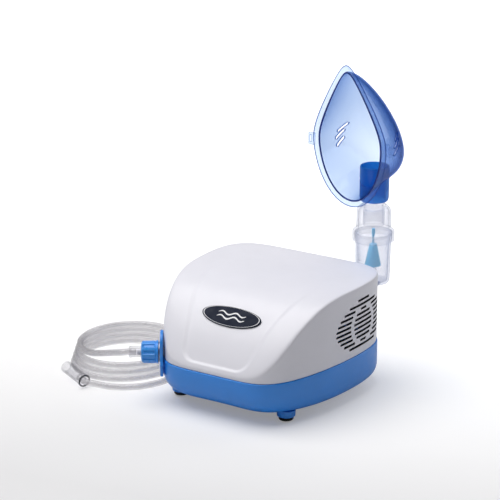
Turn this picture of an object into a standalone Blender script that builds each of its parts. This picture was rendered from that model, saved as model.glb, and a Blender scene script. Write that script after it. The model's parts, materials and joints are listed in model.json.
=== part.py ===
"""Tabletop compressor nebulizer: housing, piston compressor, air tube, medicine cup and face mask.

Lengths are in millimetres and are turned into metres when a mesh is made.
The front faces -Y and +Z is up. Every place below is measured from the floor under the middle of
the housing; the whole model is then moved by FRAME_OFFSET, which puts the origin on the floor in
the middle of the model's footprint.
"""

import math

import bmesh
import bpy
from mathutils import Vector

MM = 0.001
GAP = 0.3
FRAME_OFFSET = Vector((50.0, -25.0, 0.0))

# Housing outline, seen from above: a rounded rectangle, narrower at the front.
HALF_WIDTH = 86.0
HALF_DEPTH = 90.6
PLAN_TAPER = 11.3
PLAN_BELLY = 12.9
PLAN_POWER = 6.0
RING_STEPS = 36

# Cover, above the seam
SEAM_Z = 43.2
COVER_WALL = 2.2
CREST_HEIGHT = 69.6
CREST_FROM_FRONT = 111.3
FRONT_LIP = 10.7
FRONT_RISE_POWER = 3.0
FRONT_RISE_ROOT = 0.88
REAR_FALL = 0.6
SHOULDER_DROP = 5.4
FRONT_DROP = 8.2
SHOULDER_POWER = 7.4
FRONT_SHOULDER_POWER = 2.6

# Base tray
BASE_WALL = 2.4
BASE_PROUD = 1.0
FLOOR_Z = 8.5
SIDE_TUCK = 9.0
FRONT_TUCK = 27.0
SIDE_CURVE_HEIGHT = 14.0
FRONT_CURVE_HEIGHT = 30.0

# Feet and case screws
FOOT_PLACES = {
    "front_left": (-58.6, -54.0),
    "front_right": (58.6, -54.0),
    "rear_left": (-62.0, 58.0),
    "rear_right": (62.0, 58.0),
}
FOOT_HEIGHT = 3.4
STUB_RADIUS = 8.6
POST_RADIUS = 4.2
SCREW_RADIUS = 1.5

# Air outlet on the front left corner
OUTLET_ANGLE = math.radians(212.7)
OUTLET_POINT = (-64.5, -73.7)
OUTLET_Z = 47.5
EAR_GAP = 0.5
EAR_THICKNESS = 2.8
EAR_HALF_WIDTH = 13.0
EAR_BOTTOM = 27.0
EAR_TOP = 68.5
NUT_RADIUS = 10.7
NUT_LENGTH = 18.0
SPIGOT_RADIUS = 3.1
TUBE_RADIUS = 3.1
TUBE_BORE = 1.9
CUFF_RADIUS = 5.0
CUFF_BORE = 3.45
FREE_CUFF_RADIUS = 5.8

# Coil of air tube on the table: loops that widen and drift away from the housing on the way down
COIL_CENTRE = (-141.0, -22.0)
COIL_TOP_RADIUS = 49.0
COIL_BOTTOM_RADIUS = 54.0
COIL_STRETCH = 4.0
COIL_DRIFT = 3.0
COIL_TURNS = 3.5
COIL_PITCH = 6.6
COIL_FLOOR_Z = 3.4
COIL_STEPS = 12

# Cuff on the tube's free end: where it starts and the way it points
FREE_CUFF_START = Vector((-146.5, -91.0, 6.2))
FREE_CUFF_WAY = Vector((-0.92, 0.37, 0.12)).normalized()
FREE_CUFF_LENGTH = 34.0

# Fittings on the rear wall (x, z)
SWITCH_PLACE = (-22.0, 25.0)
INLET_PLACE = (12.0, 25.0)
FILTER_PLACE = (-34.0, 76.0)

# Badge on the sloping front, and the louvred patch on the right side (y, z)
BADGE_Y = -55.5
BADGE_HALF_WIDTH = 32.0
BADGE_HALF_HEIGHT = 10.5
VENT_PLACE = (25.0, 76.0)
VENT_ROWS = 9
VENT_PITCH = 5.2
VENT_HALF_LENGTH = 48.0

# Compressor: shaft along Y
SHAFT_X = 28.0
SHAFT_Z = 48.0
SHAFT_RADIUS = 3.0
STATOR_HALF_LENGTH = 12.0
CRANK_OFFSET = 2.0
CRANK_Y = -44.0
PISTON_RADIUS = 13.0
BORE_RADIUS = 15.6
FRAME_TOP = 22.0
FRAME_THICKNESS = 1.6
MOUNT_PLACES = {
    "front_left": (-26.0, -56.0),
    "front_right": (43.0, -56.0),
    "rear_left": (-26.0, 22.0),
    "rear_right": (43.0, 22.0),
}

# Medicine cup, chamber and mask, on one upright axis behind the rear wall
KIT_X = 54.8
KIT_Y = 112.0
CUP_Z = 86.0
MASK_MID_Z = 242.5
MASK_HALF_HEIGHT = 69.5
MASK_HALF_WIDTH = 40.0
MASK_FLANGE_Y = -48.3
MASK_FLANGE_SLOPE = -0.10
MASK_DEPTH = 85.0
MASK_POLE_Z = 205.0
MASK_WALL = 1.3
MASK_STEPS = 28

ABS_WHITE = ("abs_white", (0.86, 0.86, 0.89), 0.32, 0.0)
ABS_BLUE = ("abs_blue", (0.05, 0.24, 0.66), 0.35, 0.0)
ABS_NAVY = ("abs_navy", (0.02, 0.03, 0.07), 0.30, 0.0)
ABS_BLACK = ("abs_black", (0.02, 0.02, 0.022), 0.40, 0.0)
RUBBER = ("rubber_black", (0.02, 0.02, 0.02), 0.80, 0.0)
CLEAR = ("clear_plastic", (0.85, 0.88, 0.93), 0.12, 0.0)
PVC_CLEAR = ("clear_pvc", (0.88, 0.89, 0.90), 0.15, 0.0)
MASK_PVC = ("mask_pvc", (0.22, 0.42, 0.90), 0.15, 0.0)
PORT_BLUE = ("port_blue", (0.01, 0.06, 0.32), 0.25, 0.0)
CONE_BLUE = ("cone_blue", (0.17, 0.45, 0.85), 0.30, 0.0)
STEEL = ("steel", (0.60, 0.60, 0.62), 0.30, 1.0)
LAMINATION = ("lamination_steel", (0.30, 0.30, 0.32), 0.45, 1.0)
COPPER = ("copper_wire", (0.55, 0.22, 0.08), 0.35, 1.0)
ALUMINIUM = ("aluminium", (0.70, 0.71, 0.72), 0.35, 1.0)
NYLON = ("nylon", (0.75, 0.74, 0.70), 0.45, 0.0)
PTFE = ("ptfe", (0.80, 0.79, 0.76), 0.50, 0.0)
SILICONE = ("silicone", (0.80, 0.80, 0.80), 0.50, 0.0)
FELT = ("felt", (0.80, 0.80, 0.76), 0.95, 0.0)
BRASS = ("brass", (0.70, 0.50, 0.20), 0.30, 1.0)
WIRE_BLUE = ("wire_blue", (0.05, 0.15, 0.50), 0.45, 0.0)
WIRE_BROWN = ("wire_brown", (0.20, 0.08, 0.04), 0.45, 0.0)


# ---------------------------------------------------------------- helpers

def clear_scene():
    for obj in list(bpy.data.objects):
        bpy.data.objects.remove(obj, do_unlink=True)


def new_collection(name):
    collection = bpy.data.collections.new(name)
    bpy.context.scene.collection.children.link(collection)
    return collection


clear_scene()
PARTS = new_collection("tabletop_nebulizer")
CUTTERS = new_collection("cutters")


def material(spec):
    name, colour, roughness, metallic = spec
    found = bpy.data.materials.get(name)
    if found:
        return found
    made = bpy.data.materials.new(name)
    made.use_nodes = True
    shader = made.node_tree.nodes["Principled BSDF"]
    shader.inputs["Base Color"].default_value = (*colour, 1.0)
    shader.inputs["Roughness"].default_value = roughness
    shader.inputs["Metallic"].default_value = metallic
    return made


def place(name, data, spec=None, parent=None, at=(0, 0, 0), turn=None):
    """Make an object from a mesh or curve; at is in millimetres. Without a material it is a cutter."""
    obj = bpy.data.objects.new(name, data)
    if spec:
        PARTS.objects.link(obj)
        data.materials.append(material(spec))
    else:
        CUTTERS.objects.link(obj)
        obj.hide_render = True
        obj.display_type = "WIRE"
    obj.parent = parent
    obj.location = Vector(at) * MM
    if turn:
        obj.rotation_euler = turn
    return obj


def axis_empty(name, at, turn=(0, 0, 0)):
    empty = bpy.data.objects.new(name, None)
    PARTS.objects.link(empty)
    empty.location = Vector(at) * MM
    empty.rotation_euler = turn
    return empty


def mesh_of(name, build):
    """A mesh filled by build(bm), which works in millimetres."""
    bm = bmesh.new()
    build(bm)
    bmesh.ops.scale(bm, vec=(MM, MM, MM), verts=bm.verts)
    mesh = bpy.data.meshes.new(name)
    bm.to_mesh(mesh)
    bm.free()
    return mesh


def smooth(obj, angle=35):
    obj.data.shade_smooth()
    obj.data.set_sharp_from_angle(angle=math.radians(angle))
    return obj


def bevel(obj, width, segments=2):
    mod = obj.modifiers.new("round", "BEVEL")
    mod.width = width * MM
    mod.segments = segments
    mod.limit_method = "ANGLE"
    return obj


def solidify(obj, wall, offset=-1.0):
    mod = obj.modifiers.new("wall", "SOLIDIFY")
    mod.thickness = wall * MM
    mod.offset = offset
    mod.use_even_offset = True
    return obj


def boolean(obj, tool, operation="DIFFERENCE"):
    mod = obj.modifiers.new(operation.lower(), "BOOLEAN")
    mod.operation = operation
    mod.object = tool
    mod.solver = "EXACT"
    return obj


def box(name, size, spec=None, parent=None, at=(0, 0, 0), turn=None):
    def build(bm):
        bmesh.ops.create_cube(bm, size=1.0)
        bmesh.ops.scale(bm, vec=size, verts=bm.verts)
    return place(name, mesh_of(name, build), spec, parent, at, turn)


def rod(name, radius, length, spec=None, parent=None, at=(0, 0, 0), turn=None, steps=20):
    """A cylinder along its own Z, centred."""
    def build(bm):
        bmesh.ops.create_cone(bm, cap_ends=True, segments=steps, radius1=radius,
                              radius2=radius, depth=length)
    return smooth(place(name, mesh_of(name, build), spec, parent, at, turn))


def group(name, pieces, parent=None, at=(0, 0, 0), turn=None):
    """One cutter made of separate boxes ((size), (place)) or rods (radius, length, (place))."""
    def build(bm):
        for piece in pieces:
            if len(piece) == 2:
                size, spot = piece
                made = bmesh.ops.create_cube(bm, size=1.0)
                bmesh.ops.scale(bm, vec=size, verts=made["verts"])
            else:
                radius, length, spot = piece
                made = bmesh.ops.create_cone(bm, cap_ends=True, segments=20, radius1=radius,
                                             radius2=radius, depth=length)
            bmesh.ops.translate(bm, vec=spot, verts=made["verts"])
    return place(name, mesh_of(name, build), None, parent, at, turn)


def turned(name, profile, spec=None, parent=None, at=(0, 0, 0), turn=None, steps=16, closed=True):
    """Revolve (radius, height) points about Z. The outer side runs from top to bottom."""
    def build(bm):
        verts = [bm.verts.new((radius, 0.0, height)) for radius, height in profile]
        pairs = list(zip(verts, verts[1:]))
        if closed:
            pairs.append((verts[-1], verts[0]))
        for pair in pairs:
            bm.edges.new(pair)
    obj = place(name, mesh_of(name, build), spec, parent, at, turn)
    mod = obj.modifiers.new("turn", "SCREW")
    mod.steps = steps
    mod.render_steps = steps
    mod.use_merge_vertices = True
    mod.merge_threshold = 0.00001
    mod.use_smooth_shade = True
    return obj


def curve_mesh(curve_obj):
    """Swap a curve object for its mesh, with the caps welded."""
    bpy.context.view_layer.update()
    graph = bpy.context.evaluated_depsgraph_get()
    mesh = bpy.data.meshes.new_from_object(curve_obj.evaluated_get(graph))
    bm = bmesh.new()
    bm.from_mesh(mesh)
    bmesh.ops.remove_doubles(bm, verts=bm.verts, dist=0.00001)
    bm.to_mesh(mesh)
    bm.free()
    name = curve_obj.name
    matrix = curve_obj.matrix_world.copy()
    parent = curve_obj.parent
    bpy.data.objects.remove(curve_obj, do_unlink=True)
    obj = bpy.data.objects.new(name, mesh)
    PARTS.objects.link(obj)
    obj.parent = parent
    if parent:
        obj.matrix_parent_inverse = parent.matrix_world.inverted()
    obj.matrix_world = matrix
    return obj


def flat_part(name, outlines, thickness, spec, parent=None, at=(0, 0, 0), turn=None):
    """A plate from closed outlines in its own XY plane; the later outlines are holes."""
    curve = bpy.data.curves.new(name, "CURVE")
    curve.dimensions = "2D"
    curve.fill_mode = "BOTH"
    curve.extrude = thickness * MM / 2
    for outline_points in outlines:
        spline = curve.splines.new("POLY")
        spline.points.add(len(outline_points) - 1)
        for point, (x, y) in zip(spline.points, outline_points):
            point.co = (x * MM, y * MM, 0.0, 1.0)
        spline.use_cyclic_u = True
    return curve_mesh(place(name, curve, spec, parent, at, turn))


def hose(name, points, radius, spec, parent=None, wall=0.0):
    """A pipe through points in world millimetres; a wall makes it hollow and open at both ends."""
    curve = bpy.data.curves.new(name, "CURVE")
    curve.dimensions = "3D"
    curve.bevel_depth = radius * MM
    curve.bevel_resolution = 2
    curve.use_fill_caps = wall == 0.0
    spline = curve.splines.new("POLY")
    spline.points.add(len(points) - 1)
    for point, co in zip(spline.points, points):
        point.co = (*(Vector(co) * MM), 1.0)
    obj = curve_mesh(place(name, curve, spec))
    obj.parent = parent
    if parent:
        bpy.context.view_layer.update()
        obj.matrix_parent_inverse = parent.matrix_world.inverted()
    if wall:
        solidify(obj, wall, -1.0)
    return smooth(obj)


def circle(radius, steps, centre=(0.0, 0.0)):
    return [(centre[0] + radius * math.cos(math.tau * i / steps),
             centre[1] + radius * math.sin(math.tau * i / steps)) for i in range(steps)]


def spline_through(points, steps):
    """Catmull-Rom points through the given ones."""
    knots = [Vector(p) for p in points]
    knots = [2 * knots[0] - knots[1], *knots, 2 * knots[-1] - knots[-2]]
    path = []
    for a, b, c, d in zip(knots, knots[1:], knots[2:], knots[3:]):
        for i in range(steps):
            t = i / steps
            path.append(0.5 * ((2 * b) + (c - a) * t + (2 * a - 5 * b + 4 * c - d) * t * t
                               + (3 * b - a - 3 * c + d) * t ** 3))
    path.append(knots[-2])
    return path


def loft(rings, cap_first=False, cap_last=False):
    """A builder that joins rings of equal length with quads; a cap is a fan to the ring's middle."""
    def build(bm):
        rows = [[bm.verts.new(p) for p in ring] for ring in rings]
        count = len(rows[0])
        for lower, upper in zip(rows, rows[1:]):
            for i in range(count):
                j = (i + 1) % count
                bm.faces.new((lower[i], lower[j], upper[j], upper[i]))
        for wanted, row, flip in ((cap_first, rows[0], True), (cap_last, rows[-1], False)):
            if not wanted:
                continue
            middle = bm.verts.new(sum((v.co for v in row), Vector()) / count)
            for i in range(count):
                j = (i + 1) % count
                corners = (row[j], row[i], middle) if flip else (row[i], row[j], middle)
                bm.faces.new(corners)
    return build


# ---------------------------------------------------------------- housing form

def plan_unit(angle):
    """Point of the unit rounded square in the direction of angle."""
    c, s = math.cos(angle), math.sin(angle)
    reach = (abs(c) ** PLAN_POWER + abs(s) ** PLAN_POWER) ** (-1 / PLAN_POWER)
    return c * reach, s * reach


def plan_point(angle):
    u, v = plan_unit(angle)
    return (HALF_WIDTH + PLAN_TAPER * v - PLAN_BELLY * v * v) * u, HALF_DEPTH * v


def front_weight(angle):
    """1 at the middle of the front, 0 on the sides and rear."""
    return max(0.0, -plan_unit(angle)[1]) ** 2


def cover_height(y):
    """Height of the cover's ridge line above the seam at depth y."""
    from_front = y + HALF_DEPTH
    fall = max(0.0, 1 - from_front / CREST_FROM_FRONT)
    rise = (1 - fall ** FRONT_RISE_POWER) ** (1 / FRONT_RISE_ROOT)
    beyond = max(0.0, (from_front - CREST_FROM_FRONT) / (2 * HALF_DEPTH - CREST_FROM_FRONT))
    return FRONT_LIP + (CREST_HEIGHT - FRONT_LIP) * rise - REAR_FALL * beyond ** 2


def cover_point(angle, reach):
    """Point on the outer surface; reach is 0 at the middle and 1 at the outline."""
    x, y = (reach * value for value in plan_point(angle))
    weight = front_weight(angle)
    drop = SHOULDER_DROP + (FRONT_DROP - SHOULDER_DROP) * weight
    power = SHOULDER_POWER + (FRONT_SHOULDER_POWER - SHOULDER_POWER) * weight
    edge = (1 - min(1.0, reach) ** power) ** (1 / power)
    return x, y, SEAM_Z + cover_height(y) - drop * (1 - edge)


RING_ANGLES = [math.tau * i / RING_STEPS for i in range(RING_STEPS)]


def cover_rings():
    bottom = SEAM_Z + GAP
    rings = []
    for share in (0.0, 0.55):
        ring = []
        for angle in RING_ANGLES:
            x, y, rim = cover_point(angle, 1.0)
            ring.append((x, y, bottom + (rim - bottom) * share))
        rings.append(ring)
    for reach in (1.0, 0.98, 0.93, 0.84, 0.70, 0.48, 0.24):
        rings.append([cover_point(angle, reach) for angle in RING_ANGLES])
    return rings


def cover_inner_z(x, y):
    """Height of the cover's inside over a point near the housing's sides."""
    angle = math.atan2(y / HALF_DEPTH, x / HALF_WIDTH)
    edge_x, edge_y = plan_point(angle)
    reach = math.hypot(x, y) / math.hypot(edge_x, edge_y)
    return cover_point(angle, reach)[2] - COVER_WALL


def base_ring(z):
    ring = []
    for angle in RING_ANGLES:
        x, y = plan_point(angle)
        weight = front_weight(angle)
        tuck = SIDE_TUCK + (FRONT_TUCK - SIDE_TUCK) * weight
        height = SIDE_CURVE_HEIGHT + (FRONT_CURVE_HEIGHT - SIDE_CURVE_HEIGHT) * weight
        down = min(1.0, max(0.0, (FLOOR_Z + height - z) / height))
        inset = tuck * (1 - math.sqrt(1 - down ** 2.4)) - BASE_PROUD
        scale = 1 - inset / math.hypot(x, y)
        ring.append((x * scale, y * scale, z))
    return ring


# ---------------------------------------------------------------- housing parts

OUTWARD = Vector((math.cos(OUTLET_ANGLE), math.sin(OUTLET_ANGLE), 0.0))
EAR_FACE = EAR_GAP + EAR_THICKNESS
OUTLET_ORIGIN = Vector((*OUTLET_POINT, OUTLET_Z)) + OUTWARD * EAR_FACE
OUTLET_TURN = (0.0, math.radians(90), OUTLET_ANGLE)


def outlet_spot(out, up=0.0, side=0.0):
    """World place at a distance out of the ear's outer face."""
    across = Vector((-OUTWARD.y, OUTWARD.x, 0.0))
    return OUTLET_ORIGIN + OUTWARD * out + across * side + Vector((0, 0, up))


def make_top_cover():
    cover = place("top_cover", mesh_of("top_cover", loft(cover_rings(), cap_last=True)), ABS_WHITE)
    solidify(cover, COVER_WALL)
    for label, (x, y) in FOOT_PLACES.items():
        x, y = screw_place(x, y)
        top = cover_inner_z(x, y) + 0.8
        bottom = FLOOR_Z + BASE_WALL + GAP
        post = rod("post_" + label, POST_RADIUS, top - bottom, at=(x, y, (top + bottom) / 2), steps=14)
        boolean(cover, post, "UNION")
        bore = rod("post_bore_" + label, SCREW_RADIUS + 0.25, 16.0, at=(x, y, bottom + 7.0), steps=12)
        boolean(cover, bore)
    slots = []
    middle_row = (VENT_ROWS - 1) / 2
    for row in range(VENT_ROWS):
        z = VENT_PLACE[1] + VENT_PITCH * (row - middle_row)
        half = VENT_HALF_LENGTH * math.sqrt(1 - ((row - middle_row) / (middle_row + 1)) ** 2)
        for side in (-1, 1):
            slots.append(((40.0, half, 2.2), (86.0, VENT_PLACE[0] + side * (half / 2 + 2.0), z)))
    boolean(cover, group("side_vents", slots))
    boolean(cover, box("holder_socket", (10.6, 12.0, 6.6), at=(KIT_X - 5.8, 88.0, 77.0)))
    filter_x, filter_z = FILTER_PLACE
    boolean(cover, rod("filter_opening", 14.7, 14.0, at=(filter_x, HALF_DEPTH, filter_z),
                       turn=(math.radians(90), 0, 0)))
    boolean(cover, rod("nozzle_hole", 5.6, 30.0, at=outlet_spot(-8.0), turn=OUTLET_TURN))
    return smooth(cover)


def screw_place(x, y):
    """Each case screw stands inboard of its foot."""
    return x - math.copysign(2.0, x), y - math.copysign(16.0, y)


def make_base_tray():
    heights = (SEAM_Z, 32.0, 22.0, 15.0, 10.6, 9.0, FLOOR_Z)
    rings = [base_ring(z) for z in reversed(heights)]
    tray = place("base_tray", mesh_of("base_tray", loft(rings, cap_first=True)), ABS_BLUE)
    solidify(tray, BASE_WALL)
    middle = (EAR_TOP + EAR_BOTTOM) / 2
    half = (EAR_TOP - EAR_BOTTOM) / 2
    ear = [(half * math.cos(t), EAR_HALF_WIDTH * math.copysign(abs(math.sin(t)) ** 0.8, math.sin(t)))
           for t in (math.tau * (i + 0.5) / 28 for i in range(28))]
    plate = flat_part("ear_plate", [ear], EAR_THICKNESS, ABS_BLUE,
                      at=outlet_spot(-EAR_THICKNESS / 2, middle - OUTLET_Z), turn=OUTLET_TURN)
    web_height = 10.2
    web = box("ear_web", (7.0, 19.0, web_height),
              at=outlet_spot(-4.4, EAR_BOTTOM + 3.0 + web_height / 2 - OUTLET_Z),
              turn=(0, 0, OUTLET_ANGLE))
    for tool in (plate, web):
        to_cutters(tool)
        boolean(tray, tool, "UNION")
    for label, (x, y) in FOOT_PLACES.items():
        stub_height = FLOOR_Z - FOOT_HEIGHT - GAP + 1.2
        stub = rod("stub_" + label, STUB_RADIUS, stub_height,
                   at=(x, y, FOOT_HEIGHT + GAP + stub_height / 2), steps=20)
        boolean(tray, stub, "UNION")
    holes = [(1.7, 12.0, (*screw_place(x, y), FLOOR_Z)) for x, y in FOOT_PLACES.values()]
    holes += [(1.55, 16.0, (x, y, FLOOR_Z)) for x, y in FOOT_PLACES.values()]
    boolean(tray, group("floor_holes", holes))
    openings = [((27.6, 16.0, 17.6), (12.0, 90.0, 25.0)), ((22.6, 16.0, 16.6), (-22.0, 90.0, 25.0))]
    boolean(tray, group("socket_holes", openings))
    boolean(tray, rod("ear_hole", 4.6, 30.0, at=outlet_spot(-8.0), turn=OUTLET_TURN))
    return smooth(tray)


def to_cutters(obj):
    if obj.name in PARTS.objects:
        PARTS.objects.unlink(obj)
        CUTTERS.objects.link(obj)
    obj.hide_render = True
    obj.display_type = "WIRE"


def make_feet_and_screws():
    for label, (x, y) in FOOT_PLACES.items():
        turned("foot_" + label, [(0.0, 12.6), (1.1, 12.6), (1.25, 3.4), (6.2, 3.4), (7.0, 2.8),
                                 (7.0, 0.5), (6.5, 0.0), (0.0, 0.0)],
               RUBBER, at=(x, y, 0.0), steps=14, closed=False)
        sx, sy = screw_place(x, y)
        turned("case_screw_" + label, [(0.0, 21.0), (0.9, 21.0), (1.5, 19.5), (1.5, 8.2), (3.0, 8.2),
                                       (2.8, 6.6), (1.6, 6.1), (1.1, 6.9), (0.0, 6.9)],
               STEEL, at=(sx, sy, 0.0), steps=10, closed=False)


def make_badge():
    """Oval plate lying on the sloping front of the cover."""
    y_mid = BADGE_Y
    z_mid = SEAM_Z + cover_height(y_mid) - ridge_drop(y_mid)
    step = 4.0
    rise = (cover_height(y_mid + step) - ridge_drop(y_mid + step)
            - cover_height(y_mid - step) + ridge_drop(y_mid - step))
    slope = math.atan2(rise, 2 * step)
    oval = [(BADGE_HALF_WIDTH * math.cos(t), BADGE_HALF_HEIGHT * math.sin(t)) for t in
            (math.tau * i / 32 for i in range(32))]
    lift = 1.7
    plate = flat_part("badge", [oval], 1.4, ABS_NAVY,
                      at=(0.0, y_mid - lift * math.sin(slope), z_mid + lift * math.cos(slope)),
                      turn=(slope, 0.0, 0.0))
    return bevel(plate, 0.4, 1)


def ridge_drop(y):
    """Drop of the shoulder curve on the middle line, for depths in front of the centre."""
    return FRONT_DROP * (1 - (1 - abs(y / HALF_DEPTH) ** FRONT_SHOULDER_POWER)
                         ** (1 / FRONT_SHOULDER_POWER))


def make_kit_holder():
    pad_y = 93.6
    pad = box("kit_holder", (20.0, 3.0, 18.0), ABS_WHITE, at=(KIT_X - 6.0, pad_y, 77.0))
    tongue = box("holder_tongue", (9.8, 9.0, 5.8), at=(KIT_X - 5.8, pad_y - 5.0, 77.0))
    boolean(pad, tongue, "UNION")
    arm = box("holder_arm", (13.0, 24.0, 3.0), at=(KIT_X, pad_y + 11.0, CUP_Z - 1.9))
    boolean(pad, arm, "UNION")
    slot = [((7.4, 20.0, 8.0), (KIT_X, KIT_Y + 10.0, CUP_Z - 1.0)),
            (3.7, 8.0, (KIT_X, KIT_Y, CUP_Z - 1.0))]
    for number, piece in enumerate(slot):
        boolean(pad, group(f"holder_slot_{number}", [piece]))
    return pad


# ---------------------------------------------------------------- outlet and tube

def make_outlet():
    outlet = axis_empty("outlet_axis", OUTLET_ORIGIN, OUTLET_TURN)
    turned("outlet_nozzle", [
        (SPIGOT_RADIUS - 0.3, 22.0), (SPIGOT_RADIUS, 19.0), (SPIGOT_RADIUS, 10.2), (6.4, 10.0),
        (6.4, 2.4), (4.2, 2.2), (4.2, -7.8), (6.5, -7.9), (6.5, -9.4), (2.6, -9.5), (2.4, -20.0),
        (1.5, -20.0), (1.5, 22.0)], ABS_WHITE, outlet)
    turned("nut_washer", [(9.6, 1.4), (9.8, 0.9), (9.6, 0.4), (6.8, 0.4), (6.8, 1.4)],
           STEEL, outlet, steps=16)
    turned("outlet_nut", [
        (8.4, NUT_LENGTH), (10.2, NUT_LENGTH - 2.0), (NUT_RADIUS - 0.2, 12.0), (NUT_RADIUS, 5.0),
        (9.7, 4.6), (9.7, 4.0), (11.0, 3.6), (11.0, 1.8), (6.9, 1.8), (6.9, 13.4),
        (5.5, 13.8), (5.5, NUT_LENGTH)], ABS_BLUE, outlet, steps=18)
    turned("tube_cuff_outlet", [
        (4.6, 29.5), (CUFF_RADIUS + 0.4, 29.0), (CUFF_RADIUS + 0.4, 27.4), (CUFF_RADIUS, 27.0),
        (CUFF_RADIUS, 14.2), (4.7, 11.4), (CUFF_BORE, 11.4), (CUFF_BORE, 29.5)],
        PVC_CLEAR, outlet, steps=16)
    return outlet


def coil_point(turns):
    """Point of the stacked loops; turns counts from the left end, clockwise seen from above."""
    lead = math.radians(212.7)
    angle = lead - math.tau * turns
    share = turns / COIL_TURNS
    radius = COIL_TOP_RADIUS + (COIL_BOTTOM_RADIUS - COIL_TOP_RADIUS) * share
    return Vector((COIL_CENTRE[0] + COIL_DRIFT * (0.5 - share) + radius * math.cos(angle),
                   COIL_CENTRE[1] + (radius + COIL_STRETCH) * math.sin(angle),
                   COIL_FLOOR_Z + COIL_PITCH * (COIL_TURNS - turns)))


def tube_path():
    lead_in = [outlet_spot(30.0), outlet_spot(38.0, -0.6), (-129.0, -88.5, 37.5), (-150.5, -78.0, 30.8),
               (-169.5, -65.5, 27.8), coil_point(0.0)]
    path = [outlet_spot(22.9)] + spline_through(lead_in, 3)[:-1]
    steps = int(COIL_STEPS * COIL_TURNS)
    path += [coil_point(COIL_TURNS * i / steps) for i in range(steps)]
    tail = [coil_point(COIL_TURNS), (-86.8, -18.0, 3.4), (-85.5, -44.0, 3.4), (-97.0, -68.0, 3.4),
            (-118.0, -83.0, 3.4), FREE_CUFF_START - FREE_CUFF_WAY * 3.0]
    path += spline_through(tail, 4)
    path.append(FREE_CUFF_START + FREE_CUFF_WAY * 9.0)
    return path


def make_tube():
    hose("air_tube", tube_path(), TUBE_RADIUS, PVC_CLEAR, wall=TUBE_RADIUS - TUBE_BORE)
    turn = FREE_CUFF_WAY.to_track_quat("Z", "Y").to_euler()
    turned("tube_cuff_free", [
        (FREE_CUFF_RADIUS - 0.5, FREE_CUFF_LENGTH), (FREE_CUFF_RADIUS, FREE_CUFF_LENGTH - 1.0),
        (FREE_CUFF_RADIUS - 0.2, 3.2), (FREE_CUFF_RADIUS + 0.3, 2.8), (FREE_CUFF_RADIUS + 0.3, 0.8),
        (FREE_CUFF_RADIUS - 0.4, 0.0), (CUFF_BORE, 0.0), (CUFF_BORE, 10.0), (CUFF_BORE + 1.0, 12.0),
        (CUFF_BORE + 1.0, FREE_CUFF_LENGTH)],
        PVC_CLEAR, at=FREE_CUFF_START, turn=turn, steps=16)


# ---------------------------------------------------------------- rear fittings

def make_rear_fittings():
    rear = HALF_DEPTH + BASE_PROUD
    x, z = SWITCH_PLACE
    housing = box("switch_housing", (25.4, 2.0, 19.4), ABS_BLACK, at=(x, rear + 1.4, z))
    boolean(housing, box("switch_body", (22.0, 19.0, 16.0), at=(x, rear - 8.6, z)), "UNION")
    boolean(housing, box("switch_well", (19.4, 15.0, 13.4), at=(x, rear - 4.0, z)))
    pivot = axis_empty("rocker_axis", (x, rear - 3.0, z))
    flat_part("power_rocker", [rocker_outline()], 12.4, ABS_BLACK, pivot)
    x, z = INLET_PLACE
    inlet = box("power_inlet", (30.4, 2.0, 20.4), ABS_BLACK, at=(x, rear + 1.4, z))
    boolean(inlet, box("inlet_body", (27.0, 20.0, 17.0), at=(x, rear - 9.0, z)), "UNION")
    boolean(inlet, group("inlet_well", [((20.6, 18.0, 10.4), (x, rear - 4.0, z))]))
    for side, label in ((-1, "left"), (1, "right")):
        boolean(inlet, rod("pin_hole_" + label, 1.6, 30.0, at=(x + side * 4.3, rear - 14.0, z),
                           turn=(math.radians(90), 0, 0), steps=12))
        turned("inlet_pin_" + label, [(0.0, 24.0), (0.8, 24.0), (1.25, 22.6), (1.25, 0.0),
                                      (0.0, 0.0)],
               BRASS, at=(x + side * 4.3, rear - 24.0, z), turn=(math.radians(-90), 0, 0),
               steps=10, closed=False)
    make_filter()


def rocker_outline():
    """Side view of the rocker: a shallow V on a round heel."""
    return [(-8.4, 4.2), (0.0, 3.0), (8.4, 6.0), (8.0, -1.0), (4.0, -4.4), (-4.0, -4.4), (-8.0, -1.0)]


def make_filter():
    x, z = FILTER_PLACE
    slide = axis_empty("filter_axis", (x, HALF_DEPTH, z), (math.radians(-90), 0, 0))
    cap = turned("filter_cap", [(0.0, 4.6), (9.0, 4.4), (12.8, 3.2), (14.2, 1.2), (14.2, -7.0),
                                (12.6, -7.0), (12.6, 1.2), (0.0, 2.0)],
                 ABS_WHITE, slide, steps=20, closed=False)
    grips = [((1.8, 9.0, 3.0), (offset, 0.0, 5.0)) for offset in (-6.0, -2.0, 2.0, 6.0)]
    boolean(cap, group("filter_grips", grips, slide))
    turned("filter_felt", [(0.0, 1.0), (12.0, 0.8), (12.2, -3.6), (0.0, -3.6)],
           FELT, slide, steps=16, closed=False)


# ---------------------------------------------------------------- compressor

def shaft_spot(along, x=0.0, z=0.0):
    return SHAFT_X + x, along, SHAFT_Z + z


SHAFT_TURN = (math.radians(-90), 0.0, 0.0)


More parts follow.
